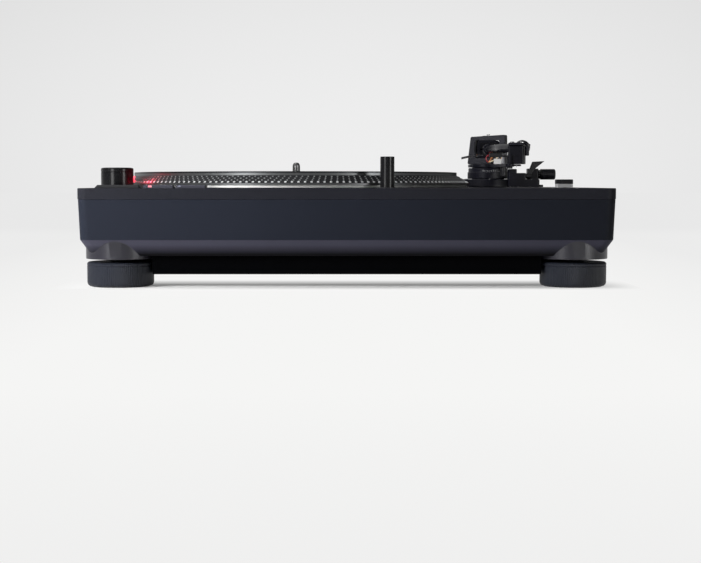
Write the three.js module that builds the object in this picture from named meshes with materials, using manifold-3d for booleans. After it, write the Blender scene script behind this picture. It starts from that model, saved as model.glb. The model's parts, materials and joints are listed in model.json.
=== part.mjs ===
// A direct-drive DJ turntable, built as a three.js scene graph. Lengths are in millimetres, +Z is up.
// The origin lies on the table under the middle of the body, and -Y is the front.
import * as THREE from 'three';
import { mergeVertices } from 'three/addons/utils/BufferGeometryUtils.js';
import Module from 'manifold-3d';

const wasm = await Module();
wasm.setup();

// Body
const bodyWidth = 453;
const bodyDepth = 353;
const bodyCorner = 9;
const footHeight = 21;
const footGap = 2.8;
const chamferBottom = 27.5;
const chamferTop = 40.6;
const bandBottom = 75;
const deckTop = 84;
const edgeBevel = 0.8;
const faceStep = 0.3;
const faceDraft = 1.8;
const chamferInset = 8.5;
const wall = 4;
const seat = 0.3;
const overrun = 2;
const roundShare = 0.476;

// Feet and base
const bossRadius = 29.2;
const bossInset = 0.5;
const footRadius = 28.4;
const studRadius = 4;
const studLength = 16;
const baseBottom = 10.7;
const baseInset = 7;
const footClear = 3.3;
const cavityInset = 17;

// Platter
const platterMargin = 11.5;
const platterRadius = 166;
const platterX = platterMargin + platterRadius - bodyWidth / 2;
const bevelRun = 12;
const platterTopRadius = platterRadius - bevelRun;
const platterLift = 2.6;
const platterLip = 1.4;
const bevelRise = 6.9;
const rimRise = 3.3;
const discThickness = 6;
const skirtWall = 6;
const skirtDrop = 11;
const hubRadius = 16;
const matInset = 4;
const matRadius = platterTopRadius - matInset;
const matThickness = 1;
const matRecess = 1.1;
const spindleRadius = 3.6;
const spindleHeight = 24;
const wellInset = 3.5;
const wellRadius = platterRadius - wellInset;
const skirtGap = 2.5;
const skirtRadius = wellRadius - skirtGap;
const wellWall = 3;
const wellDepth = 17;
const housingRadius = 14;
const housingBottom = 40;

// Controls: an inset is measured from the left or right edge of the body, a setback from its front
const frontEdge = -bodyDepth / 2;
const startInset = 33.8;
const startSetback = 27;
const startX = startInset - bodyWidth / 2;
const startY = frontEdge + startSetback;
const startSize = 39;
const startEdge = 2.2;
const speedWidth = 25.6;
const speedGap = 1.7;
const speedPitch = 27.2;
const speedSetback = 17.5;
const firstSpeedX = startX + (startSize + speedWidth) / 2 + speedGap;
const speedX = [firstSpeedX, firstSpeedX + speedPitch];
const speedY = frontEdge + speedSetback;
const speedDepth = 14;
const capRise = 2.7;
const capDepth = 6;
const capClear = 0.4;
const strobeInset = 22.4;
const strobeSetback = 75;
const strobeX = strobeInset - bodyWidth / 2;
const strobeY = frontEdge + strobeSetback;
const strobeRadius = 14.3;
const strobeHeight = 14;
const knobHeight = 3.7;
const lightAside = 83.4;
const lightSetback = 18;
const lightX = platterX + lightAside;
const lightY = frontEdge + lightSetback;
const lightRadius = 6;
const lightHeight = 26.6;
const lightButtonAside = 17.6;
const lightButtonX = lightX + lightButtonAside;
const pitchInset = 29.5;
const pitchSetback = 100;
const pitchX = bodyWidth / 2 - pitchInset;
const pitchY = frontEdge + pitchSetback;
const pitchTravel = 100;
const pitchKnobWidth = 15.2;
const pitchKnobDepth = 11;
const pitchKnobHeight = 7.3;

// Tonearm: everything is placed from the pivot, which is measured from the right and the rear edge
const armInset = 81.5;
const armSetback = 83.8;
const armX = bodyWidth / 2 - armInset;
const armY = bodyDepth / 2 - armSetback;
const armAxis = 39;
const armDrop = 3;
const armReach = 181.8;
const armBulge = 12.5;
const armRadius = 4;
const headOffset = THREE.MathUtils.degToRad(13);
const frameTurn = THREE.MathUtils.degToRad(-22);
const frameWidth = 39.5;
const frameTop = 54.4;
const frameDepth = 9;
const frameLeg = 7;
const frameWindowHeight = 18.4;
const bracketBottom = 20.3;
const bracketThickness = 3;
const bracketRadius = 20.5;
const ringRadius = 21;
const ringBottom = 8.6;
const ringHeight = 11;
const baseRadius = 30;
const baseHeight = 8.3;
const pillarRadius = 16.5;
const pillarDepth = 16;
const weightRadius = 15;
const weightLength = 20;
const weightPlace = 30;

const V2 = (x, y) => new THREE.Vector2(x, y);
const V3 = (x, y, z) => new THREE.Vector3(x, y, z);
const part = new THREE.Group();

// A small library for solids
const bare = (geometry) => {
  const copy = geometry.index ? geometry.toNonIndexed() : geometry.clone();
  copy.deleteAttribute('normal');
  copy.deleteAttribute('uv');
  return mergeVertices(copy);
};
const solid = (geometry) => {
  const merged = bare(geometry);
  return new wasm.Manifold(new wasm.Mesh({
    numProp: 3,
    vertProperties: Float32Array.from(merged.attributes.position.array),
    triVerts: Uint32Array.from(merged.index.array),
  }));
};
const geometryOf = (manifold) => {
  const mesh = manifold.getMesh();
  const geometry = new THREE.BufferGeometry();
  geometry.setAttribute('position', new THREE.BufferAttribute(mesh.vertProperties, 3));
  geometry.setIndex(new THREE.BufferAttribute(mesh.triVerts, 1));
  return geometry;
};
const join = (...shapes) => geometryOf(shapes.map(solid).reduce((a, b) => a.add(b)));
const cut = (shape, ...tools) => geometryOf(tools.map(solid).reduce((a, b) => a.subtract(b), solid(shape)));

const at = (geometry, x, y, z) => geometry.translate(x, y, z);
const box = (width, depth, height) => at(new THREE.BoxGeometry(width, depth, height), 0, 0, height / 2);
const rod = (radius, height, sides = 20) => {
  const cylinder = new THREE.CylinderGeometry(radius, radius, height, sides).rotateX(Math.PI / 2);
  return at(cylinder, 0, 0, height / 2);
};
const turned = (profile, sides = 32) => {
  const points = [...profile, profile[0]].map(([r, z]) => V2(r, z));
  const onAxis = profile[0][0] === 0;
  return new THREE.LatheGeometry(onAxis ? points.slice(0, -1) : points, sides).rotateX(Math.PI / 2);
};
const tube = (outer, inner, height, sides = 32) => turned(
  [[inner, 0], [outer, 0], [outer, height], [inner, height]], sides);
const roundedShape = (width, depth, radius) => {
  const x = width / 2 - radius;
  const y = depth / 2 - radius;
  const shape = new THREE.Shape();
  shape.absarc(x, y, radius, 0, Math.PI / 2);
  shape.absarc(-x, y, radius, Math.PI / 2, Math.PI);
  shape.absarc(-x, -y, radius, Math.PI, 1.5 * Math.PI);
  shape.absarc(x, -y, radius, 1.5 * Math.PI, 2 * Math.PI);
  return shape;
};
const plate = (shape, height, bevel = 0, curveSegments = 4) => {
  const geometry = new THREE.ExtrudeGeometry(shape, {
    depth: height - 2 * bevel, bevelEnabled: bevel > 0, bevelThickness: bevel, bevelSize: bevel,
    bevelOffset: -bevel, bevelSegments: 1, curveSegments,
  });
  return at(geometry, 0, 0, bevel);
};
const block = (width, depth, height, radius, bevel = 0, curveSegments = 2) => plate(
  roundedShape(width, depth, radius), height, bevel, curveSegments);
// A block whose lower end is smaller than its upper end by the inset on every side
const tapered = (width, depth, height, radius, inset) => {
  const geometry = block(width, depth, height, radius);
  const place = geometry.attributes.position;
  for (let i = 0; i < place.count; i += 1) {
    if (place.getZ(i) < height / 2) {
      place.setX(i, place.getX(i) * (1 - 2 * inset / width));
      place.setY(i, place.getY(i) * (1 - 2 * inset / depth));
    }
  }
  return geometry;
};
const along = (curve, radius, steps, sides) => {
  const section = new THREE.Shape();
  section.absarc(0, 0, radius, 0, 2 * Math.PI);
  return new THREE.ExtrudeGeometry(section, {
    extrudePath: curve, steps, curveSegments: sides / 2, bevelEnabled: false,
  });
};

const paint = (color, roughness, metalness = 0) => new THREE.MeshStandardMaterial(
  { color, roughness, metalness });
const blackPaint = paint(0x24252c, 0.45);
const blackPlastic = paint(0x17181c, 0.4);
const blackGloss = paint(0x101014, 0.15);
const blackMetal = paint(0x202127, 0.4, 0.6);
const rubber = paint(0x0b0b0d, 0.9);
const aluminium = paint(0x8d8f94, 0.35, 0.9);
const steel = paint(0xa8a9ad, 0.25, 1);
const copper = paint(0x9c5a30, 0.45, 0.8);
const board = paint(0x174a2c, 0.6);
const redLens = paint(0xc81e14, 0.2);
const clearLens = paint(0xe6e2d4, 0.15);
const magnet = paint(0x3b3b40, 0.6, 0.3);

const add = (name, geometry, material, parent = part) => {
  const mesh = new THREE.Mesh(geometry, material);
  mesh.name = name;
  parent.add(mesh);
  return mesh;
};
const group = (x, y, z, turn = 0) => {
  const place = new THREE.Group();
  place.position.set(x, y, z);
  place.rotation.z = turn;
  part.add(place);
  return place;
};

const corners = [['front_left', -1, -1], ['front_right', 1, -1], ['rear_left', -1, 1], ['rear_right', 1, 1]];
const faceWidth = bodyWidth - 2 * faceStep;
const faceDepth = bodyDepth - 2 * faceStep;
const lowerWidth = faceWidth - 2 * faceDraft;
const lowerDepth = faceDepth - 2 * faceDraft;
const bottomWidth = lowerWidth - 2 * chamferInset;
const bottomDepth = lowerDepth - 2 * chamferInset;
const cabinetTop = bandBottom - seat;
const footX = lowerWidth / 2 - bossInset - bossRadius;
const footY = lowerDepth / 2 - bossInset - bossRadius;
const bandHeight = deckTop - bandBottom;
const wellFloor = deckTop - wellDepth;
const wellBottom = wellFloor - wellWall;
const wellOuter = wellRadius + wellWall;
const pitchSlot = 4;
const pitchStem = 3.2;
const scaleWidth = 34;
const scaleLength = 130;
const scaleThickness = 1;
const pitchSlotLength = pitchTravel + pitchKnobDepth;
const slotCut = (height) => block(pitchSlot, pitchSlotLength, height, pitchSlot * roundShare);
const guideWall = 2;
const guideRadius = lightRadius + capClear + guideWall;
const lightButtonRadius = 4.5;
const shaftRadius = 3;
const strobePassage = 8;

// Deck panel: the top band with the platter well hanging below it
function deckPanel() {
  const cap = (width, depth) => at(block(width + 2 * capClear, depth + 2 * capClear, bandHeight + 2 * overrun,
    3 * capClear), 0, 0, bandBottom - overrun);
  const hole = (radius, x, y) => at(rod(radius, bandHeight + 2 * overrun, 24), x, y, bandBottom - overrun);
  const panel = at(block(bodyWidth, bodyDepth, bandHeight, bodyCorner, edgeBevel, 3), 0, 0, bandBottom);
  const pan = at(rod(wellOuter, deckTop - edgeBevel - wellBottom, 40), platterX, 0, wellBottom);
  const scaleRecess = block(scaleWidth + 2 * capClear, scaleLength + 2 * capClear, scaleThickness + overrun,
    2 * capClear);
  return cut(
    join(panel, pan),
    at(rod(wellRadius, wellDepth + overrun, 40), platterX, 0, wellFloor),
    at(rod(housingRadius + seat, wellWall + 2 * overrun, 32), platterX, 0, wellBottom - overrun),
    at(cap(startSize, startSize), startX, startY, 0),
    ...speedX.map((x) => at(cap(speedWidth, speedDepth), x, speedY, 0)),
    hole(strobePassage, strobeX, strobeY),
    hole(guideRadius + seat, lightX, lightY),
    hole(lightButtonRadius + capClear, lightButtonX, lightY),
    at(slotCut(bandHeight + 2 * overrun), pitchX, pitchY, bandBottom - overrun),
    at(scaleRecess, pitchX, pitchY, deckTop - scaleThickness - seat),
    hole(pillarRadius + 2 * seat, armX, armY),
  );
}

// Cabinet: drafted walls, chamfered foot line and the four foot bosses
const terminalInset = 106.5;
const terminalX = bodyWidth / 2 - terminalInset;
const terminalZ = 48;
const terminalWidth = 84;
const terminalHeight = 22;
const terminalDepth = 15;
const inletX = -terminalX;
const inletWidth = 24;
const inletHeight = 13;
const inletDepth = 20;
const bossBottom = footHeight + footGap;
const studTop = footHeight + studLength;
function cabinet() {
  const chamferHeight = chamferTop - chamferBottom;
  const wallHeight = cabinetTop - chamferTop;
  const walls = tapered(faceWidth, faceDepth, wallHeight, bodyCorner, faceDraft);
  const lower = tapered(lowerWidth, lowerDepth, chamferHeight, bodyCorner, chamferInset);
  const boss = (sx, sy, radius, bottom, top, sides = 24) => at(
    rod(radius, top - bottom, sides), sx * footX, sy * footY, bottom);
  const bossTop = chamferTop + overrun;
  const bosses = corners.map(([, sx, sy]) => boss(sx, sy, bossRadius, bossBottom, bossTop));
  const upperHollow = at(block(lowerWidth - 2 * wall, lowerDepth - 2 * wall, wallHeight + overrun,
    bodyCorner - wall), 0, 0, chamferTop);
  const lowerHollow = at(block(bottomWidth - 2 * cavityInset, bottomDepth - 2 * cavityInset,
    chamferHeight + 2 * overrun, bodyCorner), 0, 0, chamferBottom - overrun);
  const windowDepth = 2 * (wall + faceDraft + faceStep);
  const window = (width, height) => at(box(width + 2 * seat, windowDepth, height + 2 * seat),
    0, bodyDepth / 2, -seat);
  return cut(
    join(cut(
      join(at(walls, 0, 0, chamferTop), at(lower, 0, 0, chamferBottom)),
      upperHollow, lowerHollow,
    ), ...bosses),
    ...corners.map(([, sx, sy]) => boss(
      sx, sy, studRadius + seat, bossBottom - overrun, bossTop + overrun, 12)),
    at(window(terminalWidth, terminalHeight), terminalX, 0, terminalZ),
    at(window(inletWidth, inletHeight), inletX, 0, terminalZ),
  );
}

// Rubber base with a round cut-out at each foot
function rubberBase() {
  const height = chamferBottom - seat - baseBottom;
  const slab = at(block(bottomWidth - 2 * baseInset, bottomDepth - 2 * baseInset, height, bodyCorner,
    2 * edgeBevel), 0, 0, baseBottom);
  return cut(slab, ...corners.map(([, sx, sy]) => at(
    rod(bossRadius + footClear, height + 2 * overrun, 24), sx * footX, sy * footY, baseBottom - overrun)));
}

add('deck_panel', deckPanel(), blackPaint);
add('cabinet', cabinet(), blackPaint);
add('rubber_base', rubberBase(), rubber);

// Feet: a round pad with its stud
const footRound = 3.5;
const footEdge = 1;
for (const [corner, sx, sy] of corners) {
  add(`foot_${corner}`, turned([
    [0, 0], [footRadius - footRound, 0], [footRadius - footEdge, footEdge], [footRadius, footRound],
    [footRadius, footHeight - footEdge], [footRadius - footEdge, footHeight],
    [studRadius, footHeight], [studRadius, studTop], [0, studTop],
  ], 20), blackPlastic, group(sx * footX, sy * footY, 0));
}

// Platter, mat, spindle and magnet turn together
const drive = group(platterX, 0, 0);
const lipBottom = deckTop + platterLift;
const bevelFoot = lipBottom + platterLip;
const bevelHead = bevelFoot + bevelRise;
const platterTop = bevelHead + rimRise;
const discBottom = platterTop - discThickness;
const matFloor = platterTop - matRecess;
const hubDrop = 4;
const hubBottom = deckTop - hubDrop;
const magnetInner = 50;
const magnetOuter = 60;
const magnetHeight = 16;
add('platter', turned([
  [spindleRadius + seat, hubBottom], [hubRadius, hubBottom], [hubRadius, discBottom],
  [skirtRadius - skirtWall, discBottom], [skirtRadius - skirtWall, deckTop - skirtDrop],
  [skirtRadius, deckTop - skirtDrop], [skirtRadius, lipBottom], [platterRadius, lipBottom],
  [platterRadius, bevelFoot], [platterTopRadius, bevelHead], [platterTopRadius, platterTop - edgeBevel],
  [platterTopRadius - edgeBevel, platterTop], [matRadius + seat, platterTop], [matRadius + seat, matFloor],
  [spindleRadius + seat, matFloor],
], 48), aluminium, drive);
add('mat', at(tube(matRadius, spindleRadius + seat, matThickness, 48), 0, 0, matFloor + seat), rubber, drive);
const spindleTip = 1.6;
const spindleBottom = housingBottom + 2 * wall;
add('spindle', turned([
  [0, spindleBottom], [spindleRadius, spindleBottom], [spindleRadius, deckTop + spindleHeight - spindleTip],
  [spindleRadius - spindleTip / 3, deckTop + spindleHeight - spindleTip / 3],
  [spindleRadius - spindleTip, deckTop + spindleHeight], [0, deckTop + spindleHeight],
], 16), steel, drive);
add('rotor_magnet', at(tube(magnetOuter, magnetInner, magnetHeight, 24), 0, 0,
  discBottom - seat - magnetHeight), magnet, drive);

// Bearing, stator and drive board stay with the well
const flangeRadius = 24;
const flangeThickness = 3;
const housingTop = hubBottom - seat;
const flangeTop = wellBottom - seat;
add('bearing_housing', turned([
  [0, housingBottom], [housingRadius, housingBottom], [housingRadius, flangeTop - flangeThickness],
  [flangeRadius, flangeTop - flangeThickness], [flangeRadius, flangeTop], [housingRadius, flangeTop],
  [housingRadius, housingTop], [spindleRadius + seat, housingTop],
  [spindleRadius + seat, spindleBottom - seat], [0, spindleBottom - seat],
], 16), aluminium, drive);
const boardThickness = 1.6;
const boardOuter = 92;
const coilCount = 9;
const coilRadius = 7;
const coilPlace = 36;
const coilHeight = 7;
const boardTop = wellFloor + seat + boardThickness;
add('drive_board', at(tube(boardOuter, housingRadius + seat, boardThickness, 24), 0, 0, wellFloor + seat),
  board, drive);
const coils = Array.from({ length: coilCount }, (_, i) => {
  const angle = 2 * Math.PI * i / coilCount;
  return at(rod(coilRadius, coilHeight, 6), coilPlace * Math.cos(angle), coilPlace * Math.sin(angle), 0);
});
add('motor_stator', at(join(tube(coilPlace + coilRadius / 2, coilPlace - 2 * coilRadius, coilHeight / 2, 18),
  ...coils), 0, 0, boardTop + seat), copper, drive);

// Power supply and the control board lie below the deck
const supplyWidth = 70;
const supplyDepth = 56;
const supplyHeight = 26;
const supplyInset = 98.5;
const supplySetback = 68.5;
const supplyX = supplyInset - bodyWidth / 2;
const supplyY = bodyDepth / 2 - supplySetback;
add('power_supply', at(box(supplyWidth, supplyDepth, supplyHeight), supplyX, supplyY, chamferBottom), board);
const switchSize = 6;
const switchHeight = 4;
const controlTop = bandBottom - 2 * switchHeight;
const controlLeft = startX - startSize / 2 + switchSize;
const controlRight = speedX[1] + speedWidth / 2;
const controlDepth = speedDepth - 2 * capClear;
const controlWidth = controlRight - controlLeft;
const controlX = (controlLeft + controlRight) / 2;
const postX = [controlLeft + switchSize / 2, (speedX[0] + speedX[1]) / 2];
add('control_board', join(
  at(box(controlWidth, controlDepth, boardThickness), controlX, speedY, controlTop - boardThickness),
  ...[startX, ...speedX].map((x) => at(box(switchSize, switchSize, switchHeight), x, speedY, controlTop)),
  ...postX.map((x) => at(rod(switchSize / 4, bandBottom - seat - controlTop, 12), x, speedY, controlTop)),
), board);

// Push buttons: a bevelled cap with a short stem over its switch
const capTop = deckTop + capRise;
const capHeight = capRise + capDepth;
const capBlock = (width, depth, edge) => at(
  block(width, depth, capHeight, edge + seat, edge), 0, 0, capTop - capHeight);
const cap = (width, depth, edge, stemY = 0) => join(
  capBlock(width, depth, edge),
  at(rod(switchSize / 4, switchHeight + edgeBevel, 12), 0, stemY, capTop - capHeight - switchHeight),
);
add('start_stop_button', cap(startSize, startSize, startEdge, speedY - startY), blackPlastic,
  group(startX, startY, 0));
// Each speed button's indicator lens stands in a pocket in its front edge
const lensRadius = 1.6;
const lensHeight = 2;
const lensPlace = -9.6;
const lensSetback = 0.9;
const lensY = lensSetback - speedDepth / 2;
['33', '45'].forEach((speed, i) => {
  const place = group(speedX[i], speedY, 0);
  const pocket = at(rod(lensRadius + seat, lensHeight + seat + overrun, 16), lensPlace, lensY,
    capTop - lensHeight - seat);
  const lens = at(rod(lensRadius, lensHeight, 16), lensPlace, lensY, capTop - lensHeight);
  add(`speed_${speed}_button`, cut(cap(speedWidth, speedDepth, edgeBevel), pocket), blackPlastic, place);
  const capLimit = capBlock(speedWidth, speedDepth, edgeBevel);
  add(`indicator_${speed}`, geometryOf(solid(lens).intersect(solid(capLimit))),
    i === 0 ? redLens : clearLens, place);
});

// Power switch and strobe light
const strobe = group(strobeX, strobeY, 0, Math.atan2(-strobeY, platterX - strobeX));
const strobeWall = 2;
const strobeFloor = 3;
const windowWidth = 12;
const windowBottom = 4.5;
const windowHeight = 6.5;
const strobeBottom = deckTop + seat;
const strobeTop = deckTop + strobeHeight;
const windowCut = at(box(4 * strobeWall, windowWidth, windowHeight), strobeRadius, 0,
  deckTop + windowBottom);
const strobeShell = turned([
  [shaftRadius + seat, strobeBottom], [strobeRadius, strobeBottom], [strobeRadius, strobeTop],
  [strobeRadius - strobeWall, strobeTop], [strobeRadius - strobeWall, strobeBottom + strobeFloor],
  [shaftRadius + seat, strobeBottom + strobeFloor],
], 28);
add('strobe_housing', cut(strobeShell, windowCut), blackGloss, strobe);
const lensBand = at(tube(strobeRadius - seat, strobeRadius - strobeWall + seat, windowHeight - 2 * seat, 40),
  0, 0, deckTop + windowBottom + seat);
const lensLimit = at(box(4 * strobeWall, windowWidth - 2 * seat, windowHeight), strobeRadius, 0,
  deckTop + windowBottom);
const lensPiece = geometryOf(solid(lensBand).intersect(solid(lensLimit)));
add('strobe_lens', lensPiece, redLens, strobe);
const lampSize = 5;
const lampHeight = windowHeight + windowBottom - strobeFloor;
add('strobe_lamp', at(box(lampSize, lampSize, lampHeight), strobeRadius / 2 + 1.5 * seat, 0,
  strobeBottom + strobeFloor + seat), redLens, strobe);
const knobBottom = strobeTop + seat;
const knobTop = knobBottom + knobHeight;
const switchTop = bandBottom - seat;
const powerBoxSize = 16;
const powerBoxHeight = 12;
const shaftBottom = switchTop - powerBoxHeight / 2;
add('power_knob', turned([
  [0, shaftBottom], [shaftRadius, shaftBottom], [shaftRadius, knobBottom], [strobeRadius, knobBottom],
  [strobeRadius, knobTop - 2 * edgeBevel], [strobeRadius - edgeBevel, knobTop - edgeBevel],
  [strobeRadius / 2, knobTop - seat], [0, knobTop],
], 28), blackGloss, strobe);
add('power_switch', cut(
  at(box(powerBoxSize, powerBoxSize, powerBoxHeight), 0, 0, switchTop - powerBoxHeight),
  at(rod(shaftRadius + seat, powerBoxHeight, 20), 0, 0, shaftBottom - seat),
), blackPlastic, strobe);

// Target light, popped up, with its guide and release button
const light = group(lightX, lightY, 0);
const guideTop = deckTop + 2 * seat;
const guideDepth = 30;
const lightBottom = guideTop - guideDepth + 3 * wall;
const lightTop = deckTop + lightHeight;
add('target_light_guide', at(tube(guideRadius, lightRadius + capClear, guideDepth, 24), 0, 0,
  guideTop - guideDepth), blackPlastic, light);
const eyeRadius = 2.2;
const eyeDrop = 6;
const eyeDepth = 2;
const eyeTurn = Math.atan2(-lightY, platterX - lightX);
const towardsPlatter = (geometry) => geometry.rotateY(Math.PI / 2).rotateZ(eyeTurn);
const eyeStart = lightRadius - eyeDepth;
add('target_light', cut(turned([
  [0, lightBottom], [lightRadius, lightBottom], [lightRadius, lightTop - edgeBevel],
  [lightRadius - edgeBevel, lightTop], [0, lightTop],
], 24), at(towardsPlatter(at(rod(eyeRadius + seat, eyeDepth + overrun, 12), 0, 0, eyeStart - seat)), 0, 0,
  lightTop - eyeDrop)), blackGloss, light);
add('target_light_lens', at(towardsPlatter(at(rod(eyeRadius, eyeDepth - 2 * seat, 12), 0, 0, eyeStart)), 0, 0,
  lightTop - eyeDrop), clearLens, light);
const lightButtonBottom = deckTop - capDepth - capRise;
add('target_light_button', turned([
  [0, lightButtonBottom], [lightButtonRadius, lightButtonBottom], [lightButtonRadius, deckTop],
  [lightButtonRadius - edgeBevel, deckTop + edgeBevel], [0, deckTop + edgeBevel],
], 16), blackPlastic, group(lightButtonX, lightY, 0));

// Pitch fader: scale plate, slide potentiometer and knob
const fader = group(pitchX, pitchY, 0);
const potWidth = 14;
const potHeight = 11;
const potTop = bandBottom - seat;
add('pitch_scale_plate', cut(
  at(block(scaleWidth, scaleLength, scaleThickness, 2 * capClear), 0, 0, deckTop - scaleThickness),
  at(slotCut(scaleThickness + 2 * overrun), 0, 0, deckTop - scaleThickness - overrun),
), aluminium, fader);
add('pitch_potentiometer', cut(
  at(box(potWidth, scaleLength, potHeight), 0, 0, potTop - potHeight),
  at(slotCut(potHeight), 0, 0, potTop - potHeight / 2),
), blackPlastic, fader);
const pitchKnobBottom = deckTop + seat;
const stemBottom = potTop - potHeight / 2 + seat;
add('pitch_knob', join(
  at(box(pitchStem, pitchKnobDepth / 2, pitchKnobBottom - stemBottom + edgeBevel), 0, 0, stemBottom),
  at(block(pitchKnobWidth, pitchKnobDepth, pitchKnobHeight, 2 * edgeBevel, edgeBevel), 0, 0, pitchKnobBottom),
), blackPlastic, fader);

// Rear terminals
const trayWall = 2;
const rearFace = bodyDepth / 2 - faceStep - faceDraft;
const tray = group(terminalX, rearFace - terminalDepth, terminalZ);
add('terminal_tray', cut(
  at(box(terminalWidth, terminalDepth, terminalHeight), 0, terminalDepth / 2, 0),
  at(box(terminalWidth - 2 * trayWall, terminalDepth, terminalHeight - 2 * trayWall), 0,
    terminalDepth / 2 + trayWall, trayWall),
), blackMetal, tray);
const rearward = (geometry) => geometry.rotateX(-Math.PI / 2);
const jackRadius = 4.15;
const jackLength = 10;
const jackFlange = 6.4;
const jackBore = 1.7;
const jackStart = trayWall + seat;
const jackSpace = 14;
const jackX = terminalWidth / 2 - trayWall - jackSpace;
const jackPlateHeight = 2 * jackFlange;
const jack = (side) => at(rearward(tube(jackRadius, jackBore, jackLength, 10)), jackX + side * jackSpace / 2,
  jackStart, terminalHeight / 2);
add('phono_jacks', join(
  at(box(jackSpace + jackPlateHeight, trayWall, jackPlateHeight), jackX, jackStart + trayWall / 2,
    (terminalHeight - jackPlateHeight) / 2),
  jack(-1), jack(1),
), steel, tray);
const groundRadius = 4.5;
const groundLength = 9;
add('ground_terminal', at(rearward(turned([
  [0, 0], [studRadius / 2, 0], [studRadius / 2, groundLength / 3], [groundRadius, groundLength / 3],
  [groundRadius, groundLength], [0, groundLength],
], 16)), -terminalWidth / 2 + 2 * trayWall + 2 * groundRadius, jackStart, terminalHeight / 2), steel, tray);
const inletPinRadius = 1.2;
const inletPinSpace = 8.6;
const inletWall = 2.4;
const inletMouth = 6;
const inletSocketWidth = inletWidth - 2 * inletWall;
const inletSocketHeight = inletHeight - 2 * inletWall;
const socketDepth = inletDepth - 2 * inletWall;
const pinLength = socketDepth - inletMouth;
const inletPin = (side) => at(rearward(rod(inletPinRadius, pinLength + inletWall, 8)),
  side * inletPinSpace / 2, inletWall, inletHeight / 2);
add('power_inlet', join(cut(
  at(box(inletWidth, inletDepth, inletHeight), 0, inletDepth / 2, 0),
  at(rearward(block(inletSocketWidth, inletSocketHeight, socketDepth + overrun,
    inletSocketHeight * roundShare)), 0, inletDepth - socketDepth, inletHeight / 2),
), inletPin(-1), inletPin(1)), blackPlastic, group(inletX, rearFace - inletDepth, terminalZ));

// Tonearm base casting with its arm to the right for the cue lever and the anti-skate dial
const arm = group(armX, armY, deckTop);
const sideReach = 50;
const sideFront = -25;
const sideBack = 4;
const sideStart = 18;
const pillarHole = pillarRadius + 2 * seat;
const skateY = -9.2;
const skateAxis = 13.2;
const skatePost = 11;
const skatePostDepth = 13;
const skatePostTop = 19;
const baseDraft = 2;
const stepX = 28.05;
const stepWidth = 16.1;
const stepDepth = 11;
const stepTop = 14.5;
const lowReach = 55;
const lowDepth = 13;
const lowTop = 2.6;
add('arm_base', cut(
  join(
    turned([
      [0, seat], [baseRadius, seat], [baseRadius, seat + edgeBevel],
      [baseRadius - baseDraft, baseHeight], [0, baseHeight],
    ], 28),
    at(block(sideReach - sideStart, sideBack - sideFront, baseHeight - seat, 2 * edgeBevel, edgeBevel),
      (sideReach + sideStart) / 2, (sideBack + sideFront) / 2, seat),
    at(block(skatePost, skatePostDepth, skatePostTop - baseHeight + overrun, 2 * edgeBevel),
      sideReach - skatePost / 2, skateY, baseHeight - overrun),
    at(block(stepWidth, stepDepth, stepTop - baseHeight + overrun, 2 * edgeBevel, edgeBevel),
      stepX, sideFront + stepDepth / 2, baseHeight - overrun),
    at(block(lowReach - sideStart, lowDepth, lowTop - seat, 2 * edgeBevel), (lowReach + sideStart) / 2,
      skateY, seat),
  ),
  at(rod(pillarHole, baseHeight + 2 * overrun, 24), 0, 0, -overrun),
), blackPaint, arm);
add('arm_height_ring', at(tube(ringRadius, pillarHole, ringHeight, 28), 0, 0, ringBottom), blackPlastic, arm);

// Carriage: pillar and bracket; the bracket's tongue carries the lifter and the armrest
const lifterX = 11;
const lifterY = -43;
const restX = 15;
const restY = -61;
const bracketTop = bracketBottom + bracketThickness;
const lifterRadius = 2.85;
const lifterBottom = 9.7;
const lifterTop = 23.6;
const lifterBore = 1.9;
const restRadius = 3;
const tongueWidth = 9;
function tongue(fromX, fromY, toX, toY) {
  const length = Math.hypot(toX - fromX, toY - fromY) + tongueWidth;
  const turn = Math.atan2(toY - fromY, toX - fromX);
  return at(block(length, tongueWidth, bracketThickness, tongueWidth * roundShare).rotateZ(turn),
    (fromX + toX) / 2, (fromY + toY) / 2, bracketBottom);
}
const bracketHoles = [[lifterX, lifterY, lifterRadius + seat], [restX, restY, restRadius + seat]];
add('arm_bracket', cut(
  join(
    at(rod(pillarRadius, bracketBottom + pillarDepth + seat, 28), 0, 0, -pillarDepth),
    at(rod(bracketRadius, bracketThickness, 28), 0, 0, bracketBottom),
    tongue(0, -bracketRadius / 2, lifterX, lifterY),
    tongue(lifterX, lifterY, restX, restY),
  ),
  ...bracketHoles.map(([x, y, radius]) => at(
    rod(radius, bracketThickness + 2 * overrun, 16), x, y, bracketBottom - overrun)),
), blackMetal, arm);

// Outer gimbal frame, turned towards the record
const gimbal = new THREE.Group();
gimbal.rotation.z = frameTurn;
arm.add(gimbal);
const frameBottom = bracketTop + seat;
const frameWindowWidth = frameWidth - 2 * frameLeg;
const frameSill = armAxis - frameWindowHeight / 2 - frameBottom;
const frameHead = frameTop - armAxis - frameWindowHeight / 2;
const upright = (geometry) => geometry.rotateX(Math.PI / 2);
const pivotRadius = 1.6;
add('gimbal_frame', cut(
  at(upright(block(frameWidth, frameTop - frameBottom, frameDepth, 2 * edgeBevel, edgeBevel)), 0,
    frameDepth / 2, (frameTop + frameBottom) / 2),
  at(upright(block(frameWindowWidth, frameWindowHeight, frameDepth + 2 * overrun, wall / 2)), 0,
    frameDepth / 2 + overrun, armAxis),
  at(rod(pivotRadius + seat, frameTop - frameBottom + 2 * overrun, 12), 0, 0, frameBottom - overrun),
), blackMetal, gimbal);
const innerHeight = frameWindowHeight - 2 * seat;
const innerBottom = frameBottom + frameSill + seat;
add('gimbal_pivot_screw', at(rod(pivotRadius, frameHead, 16), 0, 0, frameTop - frameHead), steel, gimbal);

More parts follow.
